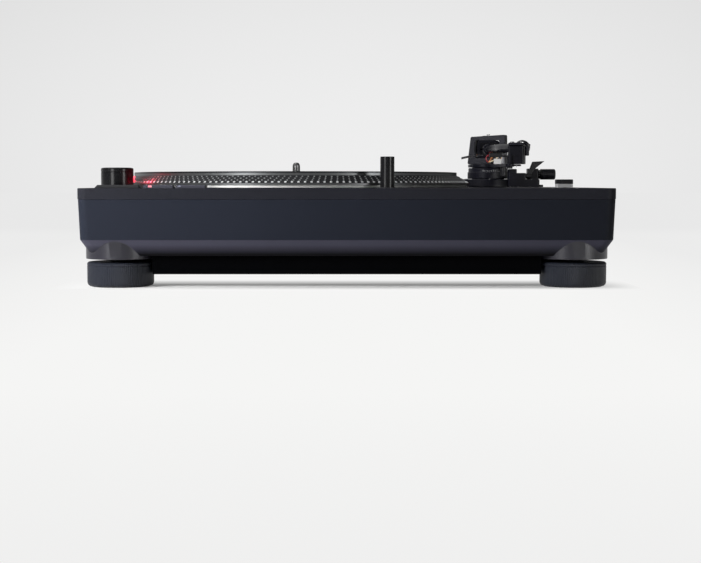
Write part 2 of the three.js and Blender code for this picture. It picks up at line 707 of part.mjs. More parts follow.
// Inner gimbal ring: its lower stub yaws in the frame, and its two side stubs carry the tube housing
const innerWidth = 22;
const innerDepth = 7;
const innerWall = 2.2;
const tubeHousing = 5.6;
const tubeHousingLength = 15;
const pinRadius = 1.2;
const pinReach = 3;
const sideways = (geometry) => geometry.rotateY(Math.PI / 2);
const ringWindowWidth = innerWidth - 2 * innerWall;
const stubStart = ringWindowWidth / 2 + innerWall / 2;
const sideStub = (side) => at(sideways(at(rod(pinRadius, pinReach + innerWall, 10), 0, 0, 0)),
  side > 0 ? stubStart - pinReach - innerWall : -stubStart, 0, armAxis);
add('gimbal_ring', join(
  cut(
    at(upright(block(innerWidth, innerHeight, innerDepth, innerWall / 2)), 0, innerDepth / 2, armAxis),
    at(upright(block(ringWindowWidth, innerHeight - 2 * innerWall, innerDepth + 2 * overrun, edgeBevel)), 0,
      innerDepth / 2 + overrun, armAxis),
  ),
  sideStub(-1), sideStub(1),
  at(rod(pivotRadius, frameSill + innerWall / 2, 12), 0, 0, innerBottom - frameSill),
), blackPlastic, arm);

// Arm tube: straight from the pivot, then the S-bend out to the headshell
const slopeShare = armDrop / armReach;
const armHeight = (y) => armAxis + y * slopeShare;
const bendShares = [
  [0, 0.05], [0, 0.3], [0, 0.5], [0.07, 0.59], [0.5, 0.7], [1.02, 0.81], [1.24, 0.9], [1, 1],
];
const armRoute = bendShares.map(([out, down]) => V3(
  out * armBulge, -down * armReach, armHeight(-down * armReach)));
add('arm_tube', along(new THREE.CatmullRomCurve3(armRoute), armRadius, 22, 8), blackMetal, arm);
const shaftStart = tubeHousingLength / 2 + seat;
add('arm_housing', cut(
  at(upright(rod(tubeHousing, tubeHousingLength, 20)), 0, tubeHousingLength / 2, armAxis),
  at(sideways(rod(pinRadius + seat, 3 * tubeHousing, 12)), -1.5 * tubeHousing, 0, armAxis),
), blackMetal, arm);

// Counterweight with its force dial, on the shaft behind the housing
const weightShaftRadius = 3.4;
const weightShaftLength = 50;
const dialRadius = 13;
const dialLength = 3;
const weightBore = weightShaftRadius + seat;
const behind = (geometry, start) => at(geometry.rotateX(-Math.PI / 2), 0, start, armAxis);
add('counterweight_shaft', behind(rod(weightShaftRadius, weightShaftLength, 16), shaftStart),
  blackMetal, arm);
add('counterweight', behind(turned([
  [weightBore, 0], [weightRadius - edgeBevel, 0], [weightRadius, edgeBevel],
  [weightRadius, weightLength - 2 * edgeBevel], [weightRadius - 2 * edgeBevel, weightLength],
  [weightBore, weightLength],
], 24), weightPlace), blackMetal, arm);
add('force_dial', behind(tube(dialRadius, weightBore, dialLength, 24), weightPlace - seat - dialLength),
  blackPlastic, arm);

// Headshell, its locking nut and the cartridge, turned by the offset angle
const head = new THREE.Group();
head.position.copy(armRoute[armRoute.length - 1]);
head.rotation.z = -headOffset;
arm.add(head);
const nutRadius = 6.6;
const nutBack = 3;
const nutLength = 9;
const neckLength = 14;
const shellBack = 11;
const shellFront = 60;
const shellWidth = 16.5;
const shellNose = 12.6;
const shellBottom = 0.4;
const shellThickness = 2.4;
const slotPlace = 4.1;
const slotWidth = 2.2;
const slotLength = 14;
const stylusPlace = 50;
const forward = (geometry, start) => at(geometry.rotateX(Math.PI / 2), 0, -start, 0);
const nutBore = armRadius + 2 * seat;
add('headshell_nut', forward(turned([
  [nutBore, 0], [nutRadius - edgeBevel, 0], [nutRadius, edgeBevel],
  [nutRadius, nutLength - edgeBevel], [nutRadius - edgeBevel, nutLength], [nutBore, nutLength],
], 18), -nutBack), steel, head);
const shellCorner = 2;
const shellShape = new THREE.Shape([
  V2(-shellWidth / 2, -shellBack - shellCorner), V2(-armRadius, -shellBack), V2(armRadius, -shellBack),
  V2(shellWidth / 2, -shellBack - shellCorner), V2(shellWidth / 2, -stylusPlace / 2),
  V2(shellNose / 2, -shellFront + shellCorner), V2(shellNose / 2 - shellCorner, -shellFront),
  V2(shellCorner - shellNose / 2, -shellFront), V2(-shellNose / 2, -shellFront + shellCorner),
  V2(-shellWidth / 2, -stylusPlace / 2),
].reverse());
const fingerRadius = 0.9;
const fingerPad = 1.9;
const fingerPadLength = 7.7;
const fingerShares = [[0.8, 0.86, 0.7], [1.2, 0.87, 0.6], [1.42, 0.87, 0], [1.437, 0.87, -0.8]];
const fingerRoute = fingerShares.map(([out, down, rise]) => V3(
  out * shellNose / 2, -down * shellFront, shellBottom + rise * shellThickness));
const fingerEnd = fingerRoute[fingerRoute.length - 1];
const slotCutter = (side) => at(
  block(slotWidth, slotLength, shellThickness + 2 * overrun, slotWidth * roundShare),
  side * slotPlace, -stylusPlace + slotLength / 4, shellBottom - overrun);
add('headshell', cut(
  join(
    forward(rod(armRadius, neckLength, 16), 2 * seat),
    at(plate(shellShape, shellThickness, edgeBevel / 2), 0, 0, shellBottom),
    along(new THREE.CatmullRomCurve3(fingerRoute), fingerRadius, 5, 6),
    at(rod(fingerPad, fingerPadLength, 12), fingerEnd.x, fingerEnd.y,
      fingerEnd.z + fingerRadius - fingerPadLength),
  ),
  slotCutter(-1), slotCutter(1),
), blackMetal, head);
const cartridgeWidth = 13.6;
const cartridgeBack = 38;
const cartridgeFront = 58;
const cartridgeHeight = 15.5;
const cartridgeTop = shellBottom - seat;
const cartridgeLength = cartridgeFront - cartridgeBack;
add('cartridge', at(block(cartridgeWidth, cartridgeLength, cartridgeHeight, 2 * edgeBevel, edgeBevel),
  0, -(cartridgeFront + cartridgeBack) / 2, cartridgeTop - cartridgeHeight), blackPlastic, head);
const stylusWidth = 6;
const stylusLength = 9;
const stylusThickness = 1.4;
const needleRadius = 0.45;
const needleLength = 1.6;
const stylusTop = cartridgeTop - cartridgeHeight - seat;
const stylusBack = cartridgeBack + stylusThickness;
add('stylus', join(
  at(box(stylusWidth, stylusLength, stylusThickness), 0, -stylusBack - stylusLength / 2,
    stylusTop - stylusThickness),
  at(box(2 * needleRadius, stylusPlace - stylusBack, 2 * needleRadius), 0, -(stylusPlace + stylusBack) / 2,
    stylusTop - stylusThickness),
  at(new THREE.ConeGeometry(needleRadius, needleLength, 8).rotateX(-Math.PI / 2), 0,
    -stylusPlace + needleRadius, stylusTop - stylusThickness),
), aluminium, head);

// Leads: four from the headshell's terminal block to the cartridge
const leadRadius = 0.8;
const leadSpace = 2.6;
const leadBlock = 2.5;
const leadStart = neckLength + 3 * seat + leadBlock;
const leadDrop = 5;
const leadRun = cartridgeBack - leadStart - seat;
const leadShares = [[-0.1, 0], [0.25, -0.3], [0.6, -0.95], [1, -1]];
const headLead = (i) => along(new THREE.CatmullRomCurve3(leadShares.map(([run, fall]) => V3(
  (i - 1.5) * leadSpace, -leadStart - run * leadRun, cartridgeTop - leadBlock / 2 + fall * leadDrop))),
leadRadius, 4, 4);
add('headshell_leads', join(
  at(box(4 * leadSpace, leadBlock, leadBlock), 0, -leadStart + leadBlock / 2, cartridgeTop - leadBlock),
  ...[0, 1, 2, 3].map(headLead),
), redLens, head);

// Leads that leave the arm and loop down to the bracket
const loopShares = [[-0.9, 0.02], [-0.92, 0.6], [-0.35, 0.96], [0.45, 0.86], [0.95, 0.4], [1, 0.02]];
const loopHalf = 7;
const loopHeight = 8.4;
const loopX = 5.6;
const loopY = -13.8;
const loopSpace = 1.9;
const loopFoot = 2;
const loopBottom = bracketTop + seat;
const armLead = (i) => along(new THREE.CatmullRomCurve3(loopShares.map(([out, rise]) => V3(
  loopX + out * loopHalf, loopY + (i - 1) * loopSpace, loopBottom + loopFoot / 2 + rise * loopHeight))),
leadRadius, 8, 4);
const loopEnd = (share) => at(
  box(loopFoot, 3 * loopSpace, loopFoot), loopX + share * loopHalf, loopY, loopBottom);
add('arm_leads', join(loopEnd(loopShares[0][0]), loopEnd(1), ...[0, 1, 2].map(armLead)), redLens, arm);

// Lifter: a cylinder in the bracket and a bar that curves under the tube
add('lifter_cylinder', at(turned([
  [0, lifterBottom], [lifterRadius / 2, lifterBottom], [lifterRadius, lifterBottom + lifterRadius / 2],
  [lifterRadius, lifterTop], [lifterBore, lifterTop], [lifterBore, lifterBottom + lifterRadius],
  [0, lifterBottom + lifterRadius],
], 20), lifterX, lifterY, 0), blackPlastic, arm);
const liftTravel = 5;
const barWidth = 3.4;
const barThickness = 2.2;
const barDroop = 4;
const barSweep = THREE.MathUtils.degToRad(60);
const barRadius = Math.hypot(lifterX, lifterY);
const barStart = Math.atan2(lifterY, lifterX) + barWidth / barRadius;
const barTop = armHeight(-barRadius) - armRadius - seat;
function lifterBar() {
  const shape = new THREE.Shape();
  shape.absarc(0, 0, barRadius + barWidth / 2, barStart, barStart - barSweep, true);
  shape.absarc(0, 0, barRadius - barWidth / 2, barStart - barSweep, barStart, false);
  const bar = plate(shape, barThickness, 0, 10);
  const place = bar.attributes.position;
  for (let i = 0; i < place.count; i += 1) {
    const share = Math.max(0, -place.getX(i) / barRadius);
    place.setZ(i, place.getZ(i) - 2 * barDroop * share * share);
  }
  const rodBottom = lifterBottom + lifterRadius + liftTravel + seat;
  return join(
    at(bar, 0, 0, barTop - barThickness),
    at(rod(lifterBore - seat, barTop - barThickness / 2 - rodBottom, 12), lifterX, lifterY, rodBottom),
  );
}
add('lifter_bar', lifterBar(), blackMetal, arm);

// Armrest: post, saddle under the tube and the clip that swings over it
const saddleDepth = 6;
const saddleHeight = 3.9;
const beamThickness = 1.8;
const saddleLeft = -5;
const saddleRight = 7.5;
const lipWidth = 2.6;
const restAxis = armHeight(restY);
const saddleTop = restAxis - armRadius - seat;
const saddleBottom = saddleTop - saddleHeight;
const postBottom = bracketBottom - beamThickness;
const clipLug = pinRadius + edgeBevel;
const clipX = saddleRight + seat + clipLug;
const clipInner = armRadius + edgeBevel;
const clipWall = 1.6;
const clipWidth = 4;
add('armrest_post', join(
  at(rod(restRadius, saddleBottom + beamThickness - postBottom, 16), restX, restY, postBottom),
  at(box(restX - saddleLeft, saddleDepth, beamThickness), (restX + saddleLeft) / 2, restY, saddleBottom),
  at(box(saddleRight - saddleLeft, saddleDepth, saddleHeight), (saddleRight + saddleLeft) / 2, restY,
    saddleBottom),
  at(box(lipWidth, saddleDepth, restAxis - saddleBottom), saddleRight - lipWidth / 2, restY, saddleBottom),
), blackPlastic, arm);
function armrestClip() {
  const shape = new THREE.Shape();
  const end = 1.85 * Math.PI;
  shape.absarc(clipX, 0, clipInner + clipWall, Math.PI, end, false);
  shape.absarc(clipX, 0, clipInner, end, Math.PI, true);
  const hook = at(upright(plate(shape, clipWidth, 0, 8)), 0, clipWidth / 2, 0);
  const linkLength = clipX - clipInner;
  const link = at(box(linkLength, clipWidth, clipWall), linkLength / 2, 0, -clipWall);
  const lug = at(upright(rod(clipLug, clipWidth, 12)), 0, clipWidth / 2, 0);
  return at(join(hook, link, lug), clipX, restY, restAxis);
}
add('armrest_clip', armrestClip(), blackPlastic, arm);

// Cue lever: a blade on a cross boss
const cueX = 36.5;
const cueY = -21;
const cueBoss = 2.8;
const cueBossLength = 5;
const cueThickness = 4;
const cueHeight = baseHeight + seat + cueBoss;
const cueTop = 27.5;
const bladeShares = [[0, 0], [0.9, 0], [1.9, 0.5], [3.8, 1], [1.5, 1], [1, 0.6]];
const bladeShape = new THREE.Shape(bladeShares.map(([out, rise]) => V2(
  cueX + out * cueBossLength, cueHeight + rise * (cueTop - cueHeight))));
add('cue_lever', join(
  at(upright(plate(bladeShape, cueThickness)), 0, cueY + cueThickness / 2, 0),
  at(sideways(rod(cueBoss, cueBossLength, 16)), cueX, cueY, cueHeight),
), blackPlastic, arm);

// Anti-skate dial on its post
const dialStart = sideReach + seat;
const skateLength = 17.5;
const skateRadius = 5.4;
const skateGrip = 12.5;
add('anti_skate_knob', at(sideways(turned([
  [0, 0], [skateRadius - edgeBevel, 0], [skateRadius - edgeBevel, skateLength - skateGrip],
  [skateRadius, skateLength - skateGrip + edgeBevel], [skateRadius, skateLength - edgeBevel],
  [skateRadius - edgeBevel, skateLength], [0, skateLength],
], 24)), dialStart, skateY, skateAxis), blackPlastic, arm);

export default part;
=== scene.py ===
"""Dresses the frame of a direct-drive DJ turntable with its finished pieces, materials, camera and stage.

Shapes are modelled in millimetres and turn to metres when a piece is finished. Materials and the stage are in
metres.
"""

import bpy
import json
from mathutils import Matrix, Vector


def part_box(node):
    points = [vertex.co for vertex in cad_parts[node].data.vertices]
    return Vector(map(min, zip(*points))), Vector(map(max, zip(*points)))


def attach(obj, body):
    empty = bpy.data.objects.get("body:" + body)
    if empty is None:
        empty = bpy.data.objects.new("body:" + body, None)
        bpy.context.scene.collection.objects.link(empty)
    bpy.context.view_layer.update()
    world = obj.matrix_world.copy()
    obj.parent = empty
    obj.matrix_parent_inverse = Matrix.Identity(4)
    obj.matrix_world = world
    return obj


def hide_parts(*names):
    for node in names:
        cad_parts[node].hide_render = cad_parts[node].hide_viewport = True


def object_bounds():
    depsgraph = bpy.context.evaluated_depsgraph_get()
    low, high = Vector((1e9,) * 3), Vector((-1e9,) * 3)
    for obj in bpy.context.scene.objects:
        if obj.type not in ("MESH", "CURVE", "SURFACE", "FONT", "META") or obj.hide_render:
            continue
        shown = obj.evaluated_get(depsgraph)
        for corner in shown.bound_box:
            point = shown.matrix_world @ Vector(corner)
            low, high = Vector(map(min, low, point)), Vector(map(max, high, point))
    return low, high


bl_info = {
    "name": "DJ Turntable Dresser",
    "version": (1, 0, 0),
    "blender": (4, 5, 0),
    "location": "3D View > Sidebar > Turntable",
    "description": "Builds the finished pieces of a DJ turntable around its CAD frame",
    "category": "Object",
}

import json
import math
from types import SimpleNamespace

import bmesh
import bpy
from bpy.props import FloatProperty, FloatVectorProperty, IntProperty, PointerProperty
from mathutils import Matrix, Vector

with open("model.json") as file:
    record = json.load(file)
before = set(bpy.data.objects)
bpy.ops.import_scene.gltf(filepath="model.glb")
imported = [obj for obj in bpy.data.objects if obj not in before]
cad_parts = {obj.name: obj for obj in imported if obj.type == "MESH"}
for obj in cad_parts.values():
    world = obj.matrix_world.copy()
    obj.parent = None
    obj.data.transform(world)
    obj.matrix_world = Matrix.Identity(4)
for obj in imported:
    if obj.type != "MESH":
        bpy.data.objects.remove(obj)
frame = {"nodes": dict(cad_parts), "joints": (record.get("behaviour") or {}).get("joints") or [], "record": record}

MM = 0.001
WELD = 0.001
FULL_TURN = 2 * math.pi
QUARTER = math.pi / 2
CAD_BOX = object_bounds()
BODY_OF = {node: body for body, nodes in frame["record"]["behaviour"]["bodies"].items() for node in nodes}
JOINTS = {joint["name"]: joint for joint in frame["joints"]}
FEET = ("front_left", "front_right", "rear_left", "rear_right")
SIDES = (-1, 1)


def length(name, millimetres, text):
    return FloatProperty(name=name, description=text, default=millimetres * MM, unit="LENGTH", precision=5)


def angle(name, degrees, text):
    return FloatProperty(name=name, description=text, default=math.radians(degrees), unit="ROTATION")


def share(name, value, text):
    return FloatProperty(name=name, description=text, default=value, subtype="FACTOR", min=0.0, max=1.0)


def power(name, watts, text):
    return FloatProperty(name=name, description=text, default=watts, unit="POWER")


def colour(name, value, text):
    return FloatVectorProperty(name=name, description=text, default=value, subtype="COLOR", min=0.0, max=1.0)


def count(name, value, text):
    return IntProperty(name=name, description=text, default=value, min=1)


class BodySettings(bpy.types.PropertyGroup):
    """Sizes and colours of the deck panel, the cabinet, the base and the feet."""

    corner: length("Corner", 9, "Radius of the body's upright corners")
    edge: length("Edge", 0.8, "Rounding of the deck panel's edges")
    well_radius: length("Well radius", 162.5, "Radius of the well that the platter sits in")
    well_wall: length("Well wall", 3, "Thickness of the well's pan")
    well_depth: length("Well depth", 17, "Depth of the well below the deck")
    face_draft: length("Face draft", 1.2, "How far the cabinet's faces draw in towards the foot line")
    chamfer_top: length("Chamfer top", 40.6, "Height of the foot line's upper edge")
    chamfer_bottom: length("Chamfer bottom", 26.7, "Height of the foot line's lower edge")
    chamfer_inset: length("Chamfer inset", 8.5, "How far the foot line draws in")
    boss_radius: length("Boss radius", 29.2, "Radius of the four bosses above the feet")
    wall: length("Wall", 4, "Wall of the cabinet")
    foot_height: length("Foot height", 21, "Height of the feet without their studs")
    deck_colour: colour("Deck colour", (0.0155, 0.016, 0.021), "Fine satin paint of the deck panel")
    face_colour: colour("Face colour", (0.0142, 0.0166, 0.0252), "Blue-black paint of the cabinet")
    # The face's colour is dimmed towards its right end: painted shade, standing in for the lamp's light falling
    # off.
    face_dim: share("Face dim", 0.62, "Share of the face's colour at its right end")
    # The foot line's lighter colour is a painted reflection of the pale floor below it, not dust.
    foot_line_colour: colour("Foot line colour", (0.05, 0.049, 0.07), "Dusty paint of the foot line")
    boss_colour: colour("Boss colour", (0.0145, 0.014, 0.0205), "The same paint on the bosses")
    base_colour: colour("Base colour", (0.0008, 0.0009, 0.0013), "Rubber of the base")
    foot_colour: colour("Foot colour", (0.0145, 0.0165, 0.0235), "Moulding of the feet")


class PlatterSettings(bpy.types.PropertyGroup):
    """Sizes and colours of the platter, the mat and the spindle."""

    top_radius: length("Top radius", 154, "Radius of the platter's face")
    lip: length("Lip", 1.4, "Height of the lip under the bevel")
    rim_rise: length("Rim rise", 3.3, "Height of the step above the bevel")
    skirt_radius: length("Skirt radius", 160, "Radius of the skirt in the well")
    skirt_wall: length("Skirt wall", 6, "Wall of the skirt")
    disc: length("Disc", 6, "Thickness of the disc")
    # The strip under the lip is a near-white ring that stands in for the bright reflection seen there: a painted
    # highlight.
    strip_radius: length("Strip radius", 163.6, "Radius of the bright strip under the lip")
    hub_radius: length("Hub radius", 16, "Radius of the hub under the disc")
    bore: length("Bore", 3.9, "Radius of the hole for the spindle")
    dot_radius: length("Dot radius", 1.0, "Radius of one strobe dot")
    dot_height: length("Dot height", 0.42, "Height of one strobe dot")
    first_row: count("First row", 186, "Strobe dots in the lowest row")
    row_step: count("Row step", 3, "Strobe dots that each higher row has more")
    rows: count("Rows", 4, "Rows of strobe dots")
    ring_pitch: length("Ring pitch", 4.2, "Distance between the mat's ribs")
    ring_depth: length("Ring depth", 0.35, "Depth between the mat's ribs")
    metal_colour: colour("Metal colour", (0.15, 0.155, 0.158), "Diecast metal of the platter")
    bevel_colour: colour("Bevel colour", (0.012, 0.012, 0.014), "Dark ground between the strobe dots")
    dot_colour: colour("Dot colour", (0.72, 0.74, 0.75), "Bright tops of the strobe dots")
    mat_colour: colour("Mat colour", (0.006, 0.006, 0.0065), "Rubber of the mat")


class ControlSettings(bpy.types.PropertyGroup):
    """Sizes and colours of the buttons, the strobe column, the target light and the fader."""

    cap_edge: length("Cap edge", 2.2, "Bevel of the start button")
    cap_dish: length("Cap dish", 0.25, "Depth of the start button's dish")
    key_edge: length("Key edge", 0.8, "Bevel of the speed buttons")
    digit_size: length("Digit size", 6.2, "Height of the speed numbers")
    icon_size: length("Icon size", 7, "Size of the start button's signs")
    print_rise: length("Print rise", 0.04, "Thickness of the printing")
    column_radius: length("Column radius", 14.3, "Radius of the strobe column")
    slot_width: length("Slot width", 4, "Width of the fader's slot")
    slot_length: length("Slot length", 111, "Length of the fader's slot")
    scale_step: length("Scale step", 6.25, "Distance between the fader's scale lines")
    scale_line: length("Scale line", 0.35, "Width of a scale line")
    fader_skirt: share("Fader skirt", 0.45, "Share of the fader knob that is its light skirt")
    print_colour: colour("Print colour", (0.62, 0.62, 0.62), "Printing on the deck")
    key_colour: colour("Key colour", (0.006, 0.006, 0.008), "Satin plastic of the buttons")
    gloss_colour: colour("Gloss colour", (0.005, 0.005, 0.006), "Polished plastic")
    strobe_colour: colour("Strobe colour", (0.85, 0.13, 0.2), "Light of the strobe")
    lamp_colour: colour("Lamp colour", (1.0, 0.55, 0.62), "Light of the lit indicator")


class ArmSettings(bpy.types.PropertyGroup):
    """Sizes and colours of the tonearm."""

    bore: length("Bore", 17.1, "Radius of the hole that the arm's pillar turns in")
    shelf: length("Shelf", 8.3, "Height of the arm's base above the deck")
    frame_turn: angle("Frame turn", -22, "Turn of the gimbal frame towards the record")
    frame_width: length("Frame width", 39.5, "Width of the gimbal frame")
    frame_depth: length("Frame depth", 9, "Depth of the gimbal frame")
    frame_leg: length("Frame leg", 7, "Width of each of the frame's legs")
    window_height: length("Window height", 18.4, "Height of the frame's window")
    ring_width: length("Ring width", 22, "Width of the inner gimbal ring")
    ring_depth: length("Ring depth", 7, "Depth of the inner gimbal ring")
    ring_wall: length("Ring wall", 2.2, "Wall of the inner gimbal ring")
    tube_radius: length("Tube radius", 4, "Radius of the arm tube")
    reach: length("Reach", 181.8, "Distance from the pivot to the headshell's nut")
    bulge: length("Bulge", 12.5, "How far the S-bend carries the tube sideways")
    drop: length("Drop", 3, "How far the tube slopes down over its reach")
    lead_radius: length("Lead radius", 0.8, "Radius of one lead")
    metal_colour: colour("Metal colour", (0.0075, 0.0075, 0.0125), "Satin metal of the arm")
    tube_colour: colour("Tube colour", (0.007, 0.007, 0.0105), "Anodised metal of the arm tube")
    steel_colour: colour("Steel colour", (0.5, 0.5, 0.5), "Bright turned metal")


class StageSettings(bpy.types.PropertyGroup):
    """Camera, lamps and floor."""

    distance: length("Distance", 1137, "Camera in front of the body's front face")
    height: length("Height", 88, "Camera above the table")
    aside: length("Aside", 3.2, "Camera right of the middle")
    tilt: angle("Tilt", -4.13, "Camera's tilt below the horizon")
    lens: FloatProperty(name="Lens", description="Focal length", default=69.8, unit="CAMERA")
    backdrop_colour: colour("Backdrop colour", (0.855, 0.855, 0.855), "Pale background")
    floor_colour: colour("Floor colour", (0.913, 0.913, 0.905), "Pale floor near the turntable")
    far_colour: colour("Far colour", (0.81, 0.81, 0.81), "Pale floor away from the turntable")
    sky_strength: share("Sky strength", 0.8, "Light from behind and above")
    front_strength: share("Front strength", 0.04, "Light from the dark side that the camera stands on")
    key_power: power("Key power", 13.0, "Lamp at the front left")
    top_power: power("Top power", 6.0, "Large lamp overhead")
    strip_power: power("Strip power", 3.0, "Upright lamps that only shine")
    glow_power: power("Glow power", 0.05, "Red glow of the strobe")


SETTINGS = {"body": BodySettings, "platter": PlatterSettings, "controls": ControlSettings, "arm": ArmSettings,
            "stage": StageSettings}


def group_of(name):
    return getattr(bpy.context.scene, f"turntable_{name}")


def sizes(name):
    """The values of one settings group, with lengths in millimetres."""
    group = group_of(name)
    values = {key: getattr(group, key) for key in SETTINGS[name].__annotations__}
    return SimpleNamespace(**{key: value / MM if group.bl_rna.properties[key].unit == "LENGTH" else value
                              for key, value in values.items()})


class Node:
    """The space that a node of the frame takes up, in millimetres."""

    def __init__(self, name):
        self.low, self.high = (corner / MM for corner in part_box(name))
        self.middle = (self.low + self.high) / 2
        self.size = self.high - self.low
        self.radius = self.size.x / 2


def pivot(joint):
    return Vector(JOINTS[joint]["pos_m"]) / MM


def plan(spot):
    """The point at height 0 under a spot."""
    return Vector((spot.x, spot.y, 0.0))


# Meshes


def faces_out(bm):
    bmesh.ops.recalc_face_normals(bm, faces=bm.faces[:])
    return bm


def welded(bm):
    bmesh.ops.remove_doubles(bm, verts=bm.verts[:], dist=WELD)
    return faces_out(bm)


def soften(bm, width, segments=2, sharp=35.0, choose=None):
    """Rounds the edges that are sharper than an angle in degrees."""
    edges = [e for e in bm.edges if e.is_manifold and e.calc_face_angle(0.0) > math.radians(sharp)
             and (choose is None or choose(e))]
    if edges:
        bmesh.ops.bevel(bm, geom=edges, offset=width, offset_type="OFFSET", segments=segments, profile=0.5,
                        affect="EDGES", material=-1, clamp_overlap=True)
    return bm


def higher_than(z):
    """Chooses the edges that lie above a height."""
    return lambda edge: min(v.co.z for v in edge.verts) > z


def turn_at(spot, turn, axis="Z"):
    """Turns about an axis through the origin, and then moves to a spot."""
    return Matrix.Translation(spot) @ Matrix.Rotation(turn, 4, axis)


def placed(bm, place):
    """Moves a whole mesh by a vector or a matrix."""
    matrix = place if isinstance(place, Matrix) else Matrix.Translation(place)
    bmesh.ops.transform(bm, matrix=matrix, verts=bm.verts[:])
    return bm


def block(size, corner=0.0, edge=0.0, along=2, corner_steps=6, edge_steps=2):
    """A box around the origin, with its corners rounded along one axis and its edges softened."""
    bm = bmesh.new()
    bmesh.ops.create_cube(bm, size=1.0, matrix=Matrix.Diagonal((*size, 1.0)))

    def runs_along(side):
        way = side.verts[0].co - side.verts[1].co
        return abs(way[along]) > way.length / 2

    if corner:
        soften(bm, corner, corner_steps, choose=runs_along)
    if edge:
        soften(bm, edge, edge_steps)
    return bm


def block_in(lowest, highest, corner=0.0, edge=0.0, along=2, edge_steps=2):
    lowest, highest = Vector(lowest), Vector(highest)
    return placed(block(highest - lowest, corner, edge, along, edge_steps=edge_steps), (lowest + highest) / 2)


def eased(profile, ease, steps=3):
    """The profile with each inner corner drawn round."""
    points = [Vector(p) for p in profile]
    made = [points[0]]
    for before, corner, after in zip(points, points[1:], points[2:]):
        back, ahead = before - corner, after - corner
        cut = min(ease, back.length * 0.45, ahead.length * 0.45)
        start, end = corner + back.normalized() * cut, corner + ahead.normalized() * cut
        for t in (i / steps for i in range(steps + 1)):
            made.append(start * (1 - t) ** 2 + corner * 2 * t * (1 - t) + end * t ** 2)
    return made + points[-1:]


def turned(profile, steps=64, closed=False):
    """A turned solid about Z, from a profile of radius and height."""
    bm = bmesh.new()
    verts = [bm.verts.new((r, 0.0, z)) for r, z in profile]
    pairs = list(zip(verts, verts[1:])) + ([(verts[-1], verts[0])] if closed else [])
    edges = [bm.edges.new(pair) for pair in pairs]
    bmesh.ops.spin(bm, geom=verts + edges, cent=(0, 0, 0), axis=(0, 0, 1), dvec=(0, 0, 0), angle=FULL_TURN,
                   steps=steps, use_merge=True, use_normal_flip=False, use_duplicate=False)
    return welded(bm)


def rod(radius, start, end, steps=32, ease=0.0):
    profile = [(0.0, start), (radius, start), (radius, end), (0.0, end)]
    return turned(eased(profile, ease) if ease else profile, steps)


def hollow(profile, ease, steps=64, segments=2):
    """A turned solid with a bore, whose wall joins the profile's ends."""
    half = (Vector(profile[0]) + Vector(profile[-1])) / 2
    return turned(eased([half, *profile, half], ease, segments)[:-1], steps, closed=True)


def ring(outer, inner, start, end, steps=64, ease=0.0):
    profile = [(inner, start), (outer, start), (outer, end), (inner, end)]
    return hollow(profile, ease, steps, 3) if ease else turned(profile, steps, closed=True)


def extruded(outline, height, edge=0.0, segments=2):
    """A flat outline drawn up along Z."""
    bm = bmesh.new()
    face = bm.faces.new([bm.verts.new((x, y, 0.0)) for x, y in outline])
    made = bmesh.ops.extrude_face_region(bm, geom=[face])["geom"]
    bmesh.ops.translate(bm, vec=(0, 0, height), verts=[v for v in made if isinstance(v, bmesh.types.BMVert)])
    faces_out(bm)
    return soften(bm, edge, segments) if edge else bm


def swept(section, turn, axis, steps):
    """A row of copies of a flat section of four corners, set round an axis through the origin."""
    bm = bmesh.new()
    face = bm.faces.new([bm.verts.new(corner) for corner in section])
    bmesh.ops.spin(bm, geom=[face], cent=(0, 0, 0), axis=axis, angle=turn, steps=steps, use_merge=False,
                   use_duplicate=True)
    return welded(bm)


def joined(*meshes):
    """One mesh that holds several shapes."""
    whole = meshes[0]
    for bm in meshes[1:]:
        loose = bpy.data.meshes.new("loose")
        bm.to_mesh(loose)
        bm.free()
        whole.from_mesh(loose)
        bpy.data.meshes.remove(loose)
    return whole


def repeated(number, part, first=0.0, step=None, axis="Z"):
    """Copies of a shape about an axis, where part gives the shape of each number."""
    step = step or FULL_TURN / number
    return joined(bmesh.new(), *[placed(part(i), Matrix.Rotation(first + i * step, 4, axis))
                                 for i in range(number)])


def linked(name, data):
    """A new object in the scene."""
    obj = bpy.data.objects.new(name, data)
    bpy.context.scene.collection.objects.link(obj)
    return obj


def mesh_object(name, bm):
    mesh = bpy.data.meshes.new(name)
    bm.to_mesh(mesh)
    bm.free()
    return linked(name, mesh)


def baked(obj, *helpers):
    """The object's finished mesh as a new bmesh. The object and its helpers are removed."""
    bpy.context.view_layer.update()
    mesh = bpy.data.meshes.new_from_object(obj.evaluated_get(bpy.context.evaluated_depsgraph_get()))
    bm = bmesh.new()
    bm.from_mesh(mesh)
    bpy.data.meshes.remove(mesh)
    for done in (obj, *helpers):
        data = done.data
        bpy.data.objects.remove(done)
        (bpy.data.meshes if isinstance(data, bpy.types.Mesh) else bpy.data.curves).remove(data)
    return bm


def combined(base, *tools, operation="DIFFERENCE"):
    """Cuts closed shapes from a closed shape, or joins them to it."""
    holder = mesh_object("holder", base)
    cutters = [mesh_object("cutter", tool) for tool in tools]
    for cutter in cutters:
        modifier = holder.modifiers.new("shape", "BOOLEAN")
        modifier.operation = operation
        modifier.solver = "EXACT"
        modifier.object = cutter
    bm = baked(holder, *cutters)
    bmesh.ops.dissolve_degenerate(bm, dist=WELD, edges=bm.edges[:])
    return bm


def fused(base, *tools):
    return combined(base, *tools, operation="UNION")


def carved(solid, cutters):
    """Cuts one shape after the other."""
    for cutter in cutters:
        solid = combined(solid, cutter)
    return solid


def tube(points, radius, sides=12, smooth=8):
    """A round tube along a smooth route."""
    curve = bpy.data.curves.new("route", "CURVE")
    curve.dimensions = "3D"
    spline = curve.splines.new("BEZIER")
    spline.bezier_points.add(len(points) - 1)
    for knot, point in zip(spline.bezier_points, points):
        knot.co = point
        knot.handle_left_type = knot.handle_right_type = "AUTO"
    curve.bevel_depth = radius
    curve.bevel_resolution = sides // 2 - 2
    curve.resolution_u = smooth
    curve.use_fill_caps = True
    return welded(baked(linked("route", curve)))


